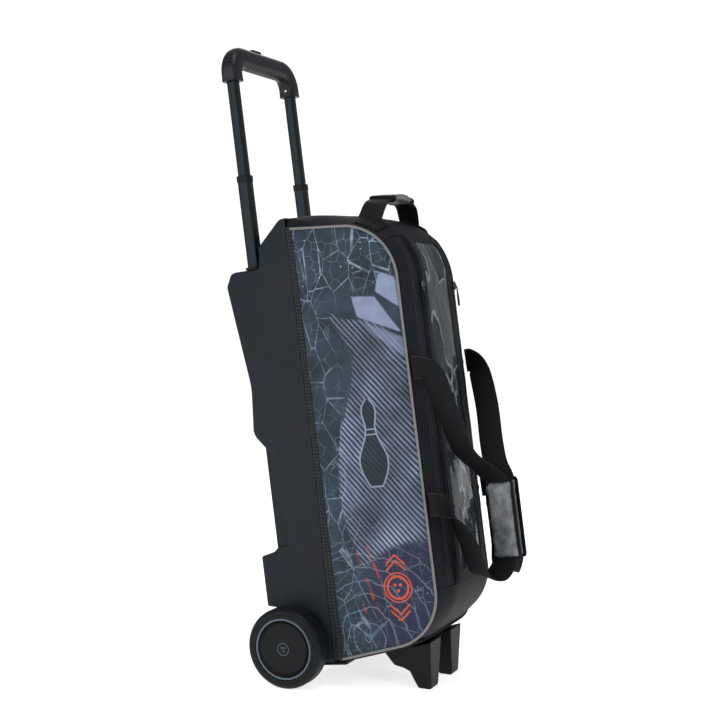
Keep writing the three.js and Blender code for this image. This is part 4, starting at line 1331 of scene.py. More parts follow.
class BAG_OT_side_panels(bpy.types.Operator):
    """Makes the two printed side panels, slightly swollen between their seams"""

    bl_idname = "bag.side_panels"
    bl_label = "Side Panels"

    def execute(self, context):
        bulge = sizes().panel_bulge
        hidden = PANEL_TUCK
        insets = [hidden + step * MM for step in (0, 0.5, 1.2, 2.5, 5, 9, 14, 20, 28)]
        centre = Vector(((SEAM_BACK + SEAM_FRONT) / 2, (SEAM_TOP + SEAM_BOTTOM) / 2))
        for side, sign in SIDES:

            def ring(outline, swell, rough=1.0):
                points = []
                for spot in outline:
                    wave = ruffle(Vector((sign, spot.x, spot.y)), 95 * MM, 3.0) * 0.9 * MM * rough
                    points.append(at(sign * (HALF_WIDTH + bulge * swell + wave), spot.x, spot.y))
                return points

            edge = rounded_outline(PANEL_CORNERS, hidden)
            rings = [[at(sign * (HALF_WIDTH - FABRIC), p.x, p.y) for p in edge]]
            for k, inset in enumerate(insets):
                depth = inset - hidden
                swell = math.tanh(depth / (16 * MM)) - 0.25 * math.exp(-depth / (1.2 * MM))
                rings.append(ring(rounded_outline(PANEL_CORNERS, inset), swell, min(1.0, k / 5)))
            core = rounded_outline(PANEL_CORNERS, insets[-1])
            for share in (0.86, 0.72, 0.58, 0.44, 0.3, 0.16, 0.02):
                rings.append(ring([centre.lerp(p, share) for p in core], 1.0))
            name = "printed_panel_" + side
            panel = Shape().add(loft(rings)).piece(name, printed_cloth, 60.0)
            panel.data.materials.append(finish(black_cloth))
            for face in panel.data.polygons:
                face.material_index = 1 if face.normal.x * sign < -0.5 else 0
            dress(panel, "bag", "printed_fabric", "side_panel_" + side)
        return {"FINISHED"}


class BAG_OT_piping(bpy.types.Operator):
    """Makes the piping round the side panels and the tape that joins them to the shell"""

    bl_idname = "bag.piping"
    bl_label = "Piping and Edge Tape"

    def execute(self, context):
        for side, sign in SIDES:
            line = [SEAM.spot(s)[0] for s in spread(SEAM.panel_start, SEAM.length, 5 * MM)]
            path = []
            for spot in line:
                sway = ruffle(Vector((sign, spot.x, spot.y)), 60 * MM, 9.0) * 0.35 * MM
                path.append(at(sign * (HALF_WIDTH + 0.4 * MM + sway), spot.x, spot.y))
            body = tube(path, PIPING_RADIUS - 0.3 * MM, 14)
            cord = Shape().add(body).piece("piping_cord_" + side, piping_cord)
            dress(cord, "bag", "piping", "piping_" + side)

            def edge_front(z):
                share = min(max((SHELL_BEND - z) / (SHELL_BEND - SEAM_BOTTOM), 0.0), 1.0)
                return SHELL_FRONT_TOP + (SHELL_FRONT_LOW - SHELL_FRONT_TOP) * share

            def tape(u, z, depth):
                back = edge_front(z) - GAP
                front = SEAM_BACK - PANEL_TUCK - 0.5 * MM
                puffed = math.sin(math.pi * u) * 1.1 * MM
                puffed += ruffle(Vector((u * 0.02, sign, z)), 9 * MM, 5.0) * 0.25 * MM
                x = HALF_WIDTH - 0.4 * MM + puffed if not depth else HALF_WIDTH - FABRIC
                return at(sign * x, front + (back - front) * u, z)

            heights = spread(SEAM_BOTTOM - 2 * MM, SEAM_TOP + 2 * MM, 4 * MM)
            body = slab([k / 8 for k in range(9)], heights, tape)
            strip = Shape().add(body).piece("edge_tape_" + side, binding_cloth)
            dress(strip, "bag", "black_fabric", "binding_" + side)
            paths = []
            for share in (0.3, 0.72):
                points = [tape(share, z, 0) + ACROSS * (sign * 0.2 * MM) for z in heights]
                paths.append([(point, ACROSS * sign) for point in points])
            pitch = sizes().stitch_pitch * 1.25
            size = (2.6 * MM, 0.9 * MM, 0.7 * MM)
            wander = (0.9 * MM, 0.7 * MM, 0)
            row = row_piece("edge_stitches_" + side, grey_thread, paths, pitch, size, wander)
            dress(row, "bag", "black_fabric")
        return {"FINISHED"}


class BAG_OT_top(bpy.types.Operator):
    """Makes the cloth top and bottom that close the body"""

    bl_idname = "bag.top"
    bl_label = "Top and Bottom"

    def execute(self, context):
        half = HALF_WIDTH - FABRIC - GAP
        height = sizes().wrinkle

        def top_relief(x, s):
            point = Vector((x, s, 0))
            drape = ruffle(Vector((x, s * 0.5, 0)), 42 * MM, 1.0) * height * 0.9
            crease = ruffle(point, 16 * MM, 4.0) * height * 0.25
            hem = 0.9 * MM * smoothstep(12 * MM, 9 * MM, s)
            edge = half - abs(x)
            square = (CROWN * 0.92 - crown(x, s)) * (1 - smoothstep(0.0, 62 * MM, s))
            square *= smoothstep(0.0, 5 * MM, edge)
            pillow = 6 * MM * (0.2 + 0.8 * smoothstep(0.0, 20 * MM, s))
            pillow *= 1 - smoothstep(34 * MM, 120 * MM, s)
            pillow *= smoothstep(0.0, 34 * MM, edge)
            return (drape + crease) * smoothstep(0.0, 12 * MM, edge) + square + pillow + hem - 0.4 * MM

        top = skin_piece("top_cloth", black_cloth, -half, half, 0.0, LID_START - 0.5 * MM, top_relief)
        dress(top, "bag", "black_fabric", "top_panel")

        def bottom_relief(x, s):
            return ruffle(Vector((x, s, 0)), 40 * MM, 2.0) * 0.4 * MM

        start = LID_END + 0.3 * MM
        bottom = skin_piece("bottom_cloth", black_cloth, -half, half, start, SEAM.length, bottom_relief)
        dress(bottom, "bag", "black_fabric", "bottom_panel")
        length = SEAM.length - LID_END
        paths = []
        for s in (4 * MM, 9 * MM, LID_START - 5 * MM):
            line = spread(-half + 6 * MM, half - 6 * MM, 4 * MM)
            paths.append([(skin(x, s, top_relief(x, s) + 0.15 * MM), skin_out(x, s)) for x in line])
        size = (3.0 * MM, 0.6 * MM, 0.5 * MM)
        row = row_piece("top_stitches", black_thread, paths, sizes().stitch_pitch, size)
        dress(row, "bag", "black_fabric")
        return {"FINISHED"}


WINDOW_HALF = 46 * MM


class BAG_OT_lid(bpy.types.Operator):
    """Makes the front lid: its black frame, the grey cloth inside it and the clear window"""

    bl_idname = "bag.lid"
    bl_label = "Front Lid"

    def execute(self, context):
        start = LID_START + 0.3 * MM
        end = LID_END - 0.3 * MM
        wave = sizes().vinyl_wave

        def slack(x, s):
            return ruffle(Vector((x, s * 0.45, 0)), 38 * MM, 6.0) * 0.8 * MM

        def lid_relief(x, s):
            fold = 0.9 * MM * smoothstep(WINDOW_HALF, WINDOW_HALF + 3 * MM, abs(x))
            return fold - 1.1 * MM + slack(x, s) * 0.35

        lid = skin_piece("lid_cloth", melange_cloth, -LID_HALF, LID_HALF, start, end, lid_relief)
        dress(lid, "lid", "black_fabric", "front_lid")
        end - start

        def film_relief(x, s):
            share = 1 - (abs(x) / WINDOW_HALF) ** 4
            share *= smoothstep(start, start + 20 * MM, s) * smoothstep(end, end - 20 * MM, s)
            swell = ruffle(Vector((x * 0.8, s * 0.5, 0)), 30 * MM, 8.0)
            ridge = abs(ruffle(Vector((x, s * 0.7, 0)), 24 * MM, 12.0))
            return 0.6 * MM + share * (0.9 * MM + wave * (swell * 0.8 + 0.9 * (0.35 - ridge)))

        film = skin_piece(
            "window_film",
            clear_vinyl,
            -WINDOW_HALF - 3 * MM,
            WINDOW_HALF + 3 * MM,
            start + 8 * MM,
            end - 12 * MM,
            film_relief,
            0.5 * MM,
            2 * MM,
        )
        dress(film, "lid", "clear_vinyl", "lid_window")
        size = (2 * WINDOW_HALF + 6 * MM, end - start - 20 * MM)

        tape = Shape()
        edge = WINDOW_HALF - 1 * MM

        def tape_point(x, s, depth):
            middle_x = math.copysign((edge + LID_HALF) / 2, x)
            side_bow = 1 - ((abs(x) - abs(middle_x)) / ((LID_HALF - edge) / 2)) ** 2
            bow = 0.7 * MM * max(side_bow, 0.0) + slack(x, s) * 0.3
            return skin(x, s, 1.5 * MM + bow if not depth else 0.2 * MM)

        def cross_point(x, s, depth):
            return skin(x, s, 1.7 * MM if not depth else 0.2 * MM)

        for _, sign in SIDES:
            across = spread(sign * edge, sign * (LID_HALF - 0.4 * MM), 2 * MM)
            tape.add(slab(across, spread(start + 0.4 * MM, end - 0.4 * MM, 4 * MM), tape_point))
        inside = spread(-edge + 0.4 * MM, edge - 0.4 * MM, 4 * MM)
        tape.add(slab(inside, spread(start + 0.4 * MM, start + 13 * MM, 3 * MM), cross_point))
        tape.add(slab(inside, spread(end - 16 * MM, end - 0.4 * MM, 3 * MM), cross_point))
        frame_tape = tape.piece("lid_tape", black_cloth)
        dress(frame_tape, "lid", "black_fabric")
        end - start
        paths = []
        for x in (edge + 2.5 * MM, LID_HALF - 3 * MM):
            for _, sign in SIDES:
                paths.append(skin_path(sign * x, start + 3 * MM, end - 3 * MM, 2.1 * MM))
        size = (3.0 * MM, 0.6 * MM, 0.5 * MM)
        row = row_piece("lid_stitches", grey_thread, paths, sizes().stitch_pitch, size)
        dress(row, "lid", "black_fabric")
        return {"FINISHED"}


STRAP_HIGH = 412 * MM
STRAP_LOW = 204 * MM
GUSSET_INNER = LID_HALF + 0.8 * MM
GUSSET_OUTER = extent("gusset_right")[1].x


class BAG_OT_gussets(bpy.types.Operator):
    """Makes the soft cloth between the zips and the side seams, with its folds and stitching"""

    bl_idname = "bag.gussets"
    bl_label = "Gussets"

    def execute(self, context):
        height = sizes().wrinkle
        start = LID_START + 0.3 * MM
        end = LID_END - 0.3 * MM
        anchors = [SEAM.height(STRAP_HIGH), SEAM.height(STRAP_LOW)]
        for side, sign in SIDES:

            def relief(x, s):
                inward = (GUSSET_OUTER - abs(x)) / (GUSSET_OUTER - GUSSET_INNER)
                hold = smoothstep(0.0, 0.12, inward) * smoothstep(1.0, 0.8, inward)
                soft = ruffle(Vector((x * 1.2, s * 0.6, sign)), 34 * MM, 2.0)
                folds = soft * 0.9 + ruffle(Vector((x, s, sign)), 13 * MM, 7.0) * 0.3
                pull = 0.0
                for anchor in anchors:
                    reach = math.hypot(s - anchor, (GUSSET_OUTER - abs(x)) * 1.2)
                    angle = math.atan2(s - anchor, GUSSET_OUTER - abs(x) + 6 * MM)
                    pull += math.exp(-reach / (38 * MM)) * math.sin(angle * 7 + anchor * 90) * 1.5
                tuck = -0.9 * MM * math.exp(-(((abs(x) - 85 * MM) / (2.2 * MM)) ** 2))
                return (folds + pull) * height * hold + tuck * hold - 0.5 * MM

            cloth = skin_piece(
                "gusset_cloth_" + side,
                black_cloth,
                sign * GUSSET_INNER,
                sign * GUSSET_OUTER,
                start,
                end,
                relief,
                FABRIC * 0.8,
            )
            body = "gusset_" + side
            dress(cloth, body, "black_fabric", body)
            size = ((GUSSET_OUTER - GUSSET_INNER) * 1.08, end - start)
            paths = []
            for x in (82.6 * MM, 87.4 * MM):
                line = spread(start + 3 * MM, end - 3 * MM, 4 * MM)
                spots = []
                for s in line:
                    lifted = relief(sign * x, s) + 0.15 * MM
                    spots.append((skin(sign * x, s, lifted), skin_out(sign * x, s)))
                paths.append(spots)
            size = (3.0 * MM, 0.6 * MM, 0.5 * MM)
            row = row_piece("gusset_stitches_" + side, grey_thread, paths, sizes().stitch_pitch, size)
            dress(row, body, "black_fabric")
        return {"FINISHED"}


def ring_block(outline, lift, point):
    """A small moulding: an outline (u, v) lofted through (inset, height) steps."""
    rings = []
    for inset, height in lift:
        rings.append([point(p.x, p.y, height) for p in rounded_outline(outline, inset, 4)])
    return loft(rings)


class BAG_OT_zips(bpy.types.Operator):
    """Makes the two zips: tapes, teeth, sliders and their hanging pulls"""

    bl_idname = "bag.zips"
    bl_label = "Zips"

    def execute(self, context):
        start = LID_START + 1.2 * MM
        end = LID_END - 1.2 * MM
        for side, sign in SIDES:
            low, high = extent("zip_" + side)
            inner = min(abs(low.x), abs(high.x)) + 0.1 * MM
            outer = max(abs(low.x), abs(high.x))
            zip_x = (inner + outer) / 2

            def relief(x, s):
                beside = abs(abs(x) - zip_x)
                return 1.25 * MM - 0.5 * MM * smoothstep(1.2 * MM, 2.2 * MM, beside)

            name = "zip_tape_" + side
            tape = skin_piece(
                name, black_cloth, sign * inner, sign * outer, start, end, relief, 0.7 * MM, 1 * MM
            )
            body = "gusset_" + side
            dress(tape, body, "black_fabric", "zip_" + side)
            end - start
            path = skin_path(sign * zip_x, start + 4 * MM, end - 4 * MM, 1.5 * MM)
            size = (1.15 * MM, 3.6 * MM, 0.9 * MM)
            pitch = sizes().tooth_pitch
            teeth = row_piece("zip_teeth_" + side, black_plastic, [path], pitch, size, square=True)
            dress(teeth, body, "black_fabric")
            self.slider(side, sign)
            self.pull(side)
        return {"FINISHED"}

    @staticmethod
    def slider(side, sign):
        low, high = extent("zip_slider_" + side)
        x, z = (low.x + high.x) / 2, (low.z + high.z) / 2
        wide, tall, deep = high.x - low.x, high.z - low.z, high.y - low.y

        def point(u, v, height):
            return at(x + u, high.y - height, z + v)

        shield = [
            (-wide / 2, tall / 2, 1.6 * MM),
            (-wide / 2, -tall * 0.1, 1.5 * MM),
            (-wide * 0.3, -tall / 2, 1.2 * MM),
            (wide * 0.3, -tall / 2, 1.2 * MM),
            (wide / 2, -tall * 0.1, 1.5 * MM),
            (wide / 2, tall / 2, 1.6 * MM),
        ]
        top = deep * 0.62
        lift = [(0.4 * MM, 0.0), (0.0, 0.4 * MM), (0.0, top - 0.5 * MM), (0.5 * MM, top)]
        shape = Shape().add(ring_block(shield, lift, point))
        arch = [(0.34, 0.5), (0.26, 0.85), (0.0, 1.0), (-0.24, 0.85), (-0.3, 0.5)]
        bridge = [at(x, high.y - deep * share, z + tall * up) for up, share in arch]
        shape.add(tube(smooth_line(bridge, 5), 0.75 * MM, 10, 1.0))
        slider = shape.piece("zip_runner_" + side, dark_metal)
        dress(slider, "zip_slider_" + side, "steel", "zip_slider_" + side)

    @staticmethod
    def pull(side):
        low, high = extent("zip_pull_" + side)
        x, z = (low.x + high.x) / 2, high.z
        wide, tall, deep = high.x - low.x, high.z - low.z, high.y - low.y
        y = (low.y + high.y) / 2
        tab_top = z - tall * 0.34

        def point(u, v, height):
            return at(x + u, y + deep / 2 - height, tab_top + v)

        tab = [
            (-wide * 0.32, 0.0, 1 * MM),
            (-wide / 2, -tall * 0.25, 2 * MM),
            (-wide / 2, -tall * 0.64, 2.2 * MM),
            (wide / 2, -tall * 0.64, 2.2 * MM),
            (wide / 2, -tall * 0.25, 2 * MM),
            (wide * 0.32, 0.0, 1 * MM),
        ]
        lift = [(0.5 * MM, 0.0), (0.0, 0.5 * MM), (0.0, deep - 0.5 * MM), (0.5 * MM, deep)]
        shape = Shape().add(ring_block(tab, lift, point))
        for rib in (-0.34, -0.42, -0.50):
            line = [at(x + u * wide * 0.34, y - deep / 2, tab_top + tall * rib) for u in (-1, 0, 1)]
            shape.add(tube(line, 0.45 * MM, 8))
        reach = wide * 0.26
        cord = [(-reach, 0.3), (-reach * 1.1, -1.0), (-reach, -4.0), (0, -7.4)]
        cord += [(reach, -4.0), (reach * 1.1, -1.0)]
        cord.append((reach, 0.3))
        loop = [at(x + u, y, tab_top - v * MM * 1.45) for u, v in cord]
        shape.add(tube(smooth_line(loop, 5), 0.65 * MM, 8))
        puller = shape.piece("zip_cord_" + side, black_plastic)
        dress(puller, "zip_pull_" + side, "black_fabric", "zip_pull_" + side)


def strap_route(sign):
    """Centre points and width directions of a carry strap, from its high anchor to its low one."""
    pad_low, pad_high = extent("strap_pad_right")
    pad_x = (pad_low.x + pad_high.x) / 2
    pad_y = (pad_low.y + pad_high.y) / 2
    foot, head = pad_low.z, pad_high.z
    x = HALF_WIDTH + 1 * MM
    y = SEAM_FRONT - 7 * MM
    route = [
        ((x, y, STRAP_HIGH), (0, 0, 1)),
        ((x - 3 * MM, y - 8 * MM, STRAP_HIGH), (0, 0, 1)),
        ((x - 13 * MM, y - 23 * MM, STRAP_HIGH - 12 * MM), (0.1, -0.35, 1)),
        ((x - 28 * MM, y - 37 * MM, STRAP_HIGH - 72 * MM), (0.2, -1, 0.25)),
        ((x - 52 * MM, y - 46 * MM, STRAP_HIGH - 136 * MM), (0.2, -1, 0)),
        ((x - 88 * MM, y - 62 * MM, head + 20 * MM), (0.1, -1, 0)),
        ((pad_x, pad_y, head - 6 * MM), (0, -1, 0)),
        ((pad_x, pad_y, (head + foot) / 2), (0, -1, 0)),
        ((pad_x, pad_y, foot + 6 * MM), (0, -1, 0)),
        ((pad_x + 14 * MM, pad_y + 16 * MM, foot - 22 * MM), (0, -1, -0.2)),
        ((pad_x + 40 * MM, y - 46 * MM, foot - 16 * MM), (0.1, -1, -0.4)),
        ((x - 32 * MM, y - 40 * MM, STRAP_LOW - 58 * MM), (0.2, -1, -0.5)),
        ((x - 12 * MM, y - 20 * MM, STRAP_LOW - 8 * MM), (0.1, -0.4, -1)),
        ((x - 3 * MM, y - 8 * MM, STRAP_LOW), (0, 0, -1)),
        ((x, y, STRAP_LOW), (0, 0, -1)),
    ]
    centres = [at(sign * p[0], p[1], p[2]) for p, _ in route]
    widths = [ACROSS * (sign * w[0]) + BACK * w[1] + UP * w[2] for _, w in route]
    return smooth_line(centres, 9), smooth_line(widths, 9)


class BAG_OT_straps(bpy.types.Operator):
    """Makes the two carry straps and the padded wraps that hold them together"""

    bl_idname = "bag.straps"
    bl_label = "Carry Straps"

    def execute(self, context):
        for side, sign in SIDES:
            body = "carry_strap_" + side
            centres, widths = strap_route(sign)
            section = rounded_section(WEBBING, WEBBING_THICK, 1.1 * MM)
            rings = band_rings(centres, widths, section)
            strap = Shape().add(loft(rings)).piece("carry_webbing_" + side, webbing_cloth, 60.0)
            dress(strap, body, "black_fabric", body)
            length = travelled(centres)[-1]
            self.pad(side, sign, body)
            paths = []
            marks = travelled(centres)
            for begin in (3 * MM, length - 21 * MM):
                inside = [k for k, s in enumerate(marks) if begin <= s <= begin + 18 * MM]
                for u in (-0.42, 0.42):
                    spots = []
                    for k in inside:
                        ring = rings[k]
                        wide = (ring[1] - ring[-2]).normalized()
                        way = tangents(centres)[k]
                        out = way.cross(wide).normalized()
                        lifted = centres[k] + wide * (u * WEBBING) + out * (WEBBING_THICK * 0.52)
                        spots.append((lifted, out))
                    if len(spots) > 1:
                        paths.append(spots)
            size = (2.8 * MM, 0.7 * MM, 0.6 * MM)
            row = row_piece("strap_stitches_" + side, grey_thread, paths, sizes().stitch_pitch, size)
            dress(row, body, "black_fabric")
        return {"FINISHED"}

    @staticmethod
    def pad(side, sign, body):
        low, high = extent("strap_pad_" + side)
        middle_x, middle_y = (low.x + high.x) / 2, (low.y + high.y) / 2
        shrink = 1.2 * MM
        width = high.y - low.y - 2 * shrink
        thick = high.x - low.x - 5 * MM
        rings = []
        for z in spread(low.z + 2 * MM, high.z - 2 * MM, 4 * MM):
            ends = smoothstep(0.0, 8 * MM, min(z - low.z, high.z - z) + 3 * MM)
            section = rounded_section(width, thick * (0.75 + 0.25 * ends), thick * 0.36)
            rings.append([at(middle_x + v, middle_y + u, z) for u, v in section])
        wrap = Shape().add(loft(rings)).piece("pad_wrap_" + side, silver_cloth, 60.0)
        puff(wrap, 3.6 * MM, 1.6 * MM, sizes().pad_pressure)
        for vertex in wrap.data.vertices:
            crease = ruffle(vertex.co, 17 * MM, 4.0 + sign) * 0.9 * MM
            vertex.co.x += crease * (1 if vertex.co.x > middle_x else -1)
        dress(wrap, body, "silver_cloth", "strap_pad_" + side)
        edging = Shape()
        for y in (low.y + 3.2 * MM, high.y - 3.2 * MM):
            line = [at(middle_x, y, z) for z in spread(low.z + 3 * MM, high.z - 3 * MM, 6 * MM)]
            edging.add(tube(line, (high.x - low.x) / 2 - 0.8 * MM, 12, 0.42))
        trim = edging.piece("pad_edging_" + side, black_cloth, 60.0)
        dress(trim, body, "black_fabric")


class BAG_OT_grab_handle(bpy.types.Operator):
    """Makes the grab handle on the top: a webbing arch with a padded silver wrap"""

    bl_idname = "bag.grab_handle"
    bl_label = "Grab Handle"

    def execute(self, context):
        low, high = extent("grab_strap")
        span = high.x - 1 * MM
        base_z = low.z - 3 * MM
        rise = high.z - base_z - 14 * MM
        seat_y = -203 * MM
        centres, widths = [], []
        for k in range(13):
            t = k / 6 - 1
            lift = max(1 - t * t, 0.0) ** 0.42
            tilt = 0.5 - 0.4 * lift
            centres.append(at(t * (span - 6 * MM * lift), seat_y - 8 * MM * lift, base_z + rise * lift))
            widths.append(BACK * -math.cos(tilt) + UP * -math.sin(tilt))
        centres, widths = smooth_line(centres, 6), smooth_line(widths, 6)
        section = rounded_section(WEBBING, WEBBING_THICK, 1.1 * MM)
        band = loft(band_rings(centres, widths, section))
        strap = Shape().add(band).piece("grab_webbing", webbing_cloth, 60.0)
        dress(strap, "grab_handle", "black_fabric", "grab_strap")
        length = travelled(centres)[-1]
        limit = extent("grab_pad")[1].x - 1 * MM
        held = [k for k, point in enumerate(centres) if abs((point - AXLE).x) <= limit]
        chosen = [centres[k] for k in held]
        wides = [widths[k] for k in held]
        body = rounded_section(WEBBING + 5 * MM, 8.5 * MM, 4.0 * MM)
        wrap = Shape().add(loft(band_rings(chosen, wides, body))).piece("grab_wrap", silver_cloth, 60.0)
        puff(wrap, 3.6 * MM, 1.6 * MM, sizes().pad_pressure)
        for vertex in wrap.data.vertices:
            vertex.co += UP * (ruffle(vertex.co, 15 * MM, 2.0) * 0.9 * MM)
        dress(wrap, "grab_handle", "silver_cloth", "grab_pad")
        cuffs = Shape()
        cuff = rounded_section(WEBBING + 7 * MM, 10.5 * MM, 4.6 * MM)
        for ends in (held[:4], held[-4:]):
            rings = band_rings([centres[k] for k in ends], [widths[k] for k in ends], cuff)
            cuffs.add(loft(rings))
        trim = cuffs.piece("grab_cuffs", black_cloth, 60.0)
        dress(trim, "grab_handle", "black_fabric")
        self.tabs(span, seat_y)
        return {"FINISHED"}

    @staticmethod
    def tabs(span, seat_y):
        """The strap's ends, sewn flat on the top beside the arch."""
        seat = next(s for s, point in zip(SEAM.along, SEAM.points) if point.x < seat_y)
        shape = Shape()
        for _, sign in SIDES:
            across = spread(sign * (span - 5 * MM), sign * (span + 26 * MM), 3 * MM)
            along = spread(seat - WEBBING / 2, seat + WEBBING / 2, 4 * MM)
            shape.add(slab(across, along, lambda x, s, depth: skin(x, s, (2.9 - 2.8 * depth) * MM)))
        tab = shape.piece("grab_tabs", webbing_cloth, 60.0)
        dress(tab, "bag", "black_fabric")


class BAG_OT_handle(bpy.types.Operator):
    """Makes the telescoping handle's visible tubes, collars, grip and release button"""

    bl_idname = "bag.handle"
    bl_label = "Telescoping Handle"

    def execute(self, context):
        for side, _ in SIDES:
            for stage in ("middle", "inner"):
                node = f"{stage}_tube_{side}"
                piece = cad_copy(node, f"drawn_{node}", tube_metal, 0.0, 40.0)
                dress(piece, stage + "_stage", "tube_metal", node)
            collar = cad_copy("middle_collar_" + side, "collar_" + side, black_plastic, 0.7 * MM)
            dress(collar, "middle_stage", "black_plastic", "middle_collar_" + side)
            bezel = cad_copy("tube_bezel_" + side, "bezel_" + side, black_plastic, 0.7 * MM)
            dress(bezel, "bag", "black_plastic", "tube_bezel_" + side)
            plain(steel, "push_rod_" + side)
        self.grip()
        button = cad_copy("release_button", "push_button", black_plastic, 0.5 * MM)
        dress(button, "release", "black_plastic", "release_button")
        return {"FINISHED"}

    @staticmethod
    def grip():
        low, high = extent("grip")
        tube_low, tube_high = extent("inner_tube_right")
        leg_x = (tube_low.x + tube_high.x) / 2
        y = (tube_low.y + tube_high.y) / 2
        depth = high.y - low.y
        bar = 34 * MM
        leg = 26 * MM
        bend = 30 * MM
        bar_z = high.z - bar / 2
        ripple = sizes().grip_ripple

        line = [Vector((-leg_x, z)) for z in spread(low.z, bar_z - bend, 4 * MM)]
        centre = Vector((-leg_x + bend, bar_z - bend))
        for turn in spread(0.0, math.pi / 2, math.radians(7)):
            line.append(centre + Vector((-math.cos(turn), math.sin(turn))) * bend)
        line.extend(Vector((x, bar_z)) for x in spread(-leg_x + bend, 0.0, 2 * MM)[1:])
        line.extend(Vector((-p.x, p.y)) for p in reversed(line[:-1]))
        marks = travelled(line)
        total = marks[-1]
        rings = []
        for k, (spot, way) in enumerate(zip(line, tangents(line))):
            out = Vector((-way.y, way.x))
            end = min(marks[k], total - marks[k])
            grown = smoothstep(8 * MM, 52 * MM, end)
            half = (leg + (bar - leg) * grown) / 2
            half += 1.0 * MM * smoothstep(6 * MM, 1 * MM, end)
            deep = depth / 2 * (0.93 + 0.07 * grown)
            corner = (5 + 8.5 * grown) * MM
            inner = half
            if abs(spot.x) < leg_x - bend:
                fade = smoothstep(0.0, 10 * MM, leg_x - bend - abs(spot.x))
                inner -= ripple * fade * (0.5 - 0.5 * math.cos(2 * math.pi * spot.x / (11.5 * MM)))
            ring = []
            for u, v in rounded_section(2 * deep, 2 * half, corner, 6):
                across = v if v > 0 else v * inner / half
                ring.append(at(spot.x + out.x * across, y + u, spot.y + out.y * across))
            rings.append(ring)
        grip = Shape().add(loft(rings)).piece("grip_moulding", grip_rubber, 50.0)
        x = -14 * MM
        well = [
            (x - 15.6 * MM, y - 7.1 * MM, 3.4 * MM),
            (x + 15.6 * MM, y - 7.1 * MM, 3.4 * MM),
            (x + 15.6 * MM, y + 7.1 * MM, 3.4 * MM),
            (x - 15.6 * MM, y + 7.1 * MM, 3.4 * MM),
        ]
        outline = rounded_outline(well, 0.0, 4)
        hollow = [[at(p.x, p.y, z) for p in outline] for z in (high.z - 9 * MM, high.z + 6 * MM)]
        cutter = Shape().add(loft(hollow)).piece("button_well", grip_rubber)
        cut = grip.modifiers.new("button well", "BOOLEAN")
        cut.object = cutter
        cut.solver = "EXACT"
        settled(grip)
        bpy.data.objects.remove(cutter)
        dress(grip, "inner_stage", "black_plastic", "grip")
        shape = Shape()
        head = [(-0.7, 0.4), (-0.7, 1.6), (0.0, 2.3), (0.8, 2.3)]
        head = [(out * MM, radius * MM) for out, radius in head]
        for _, sign in SIDES:
            for up in (10 * MM, 24 * MM):
                spot = at(sign * (leg_x - leg / 2 - 0.1 * MM), y, low.z + up)
                shape.add(loft(circle_rings(spot, head, 16)))
        screws = shape.piece("grip_screws", steel)
        dress(screws, "inner_stage", "steel")


def turned_piece(name, maker, centre, profile):
    """A closed profile turned about the axle."""
    return Shape().add(loft(circle_rings(centre, profile, 96), closed=True)).piece(name, maker)


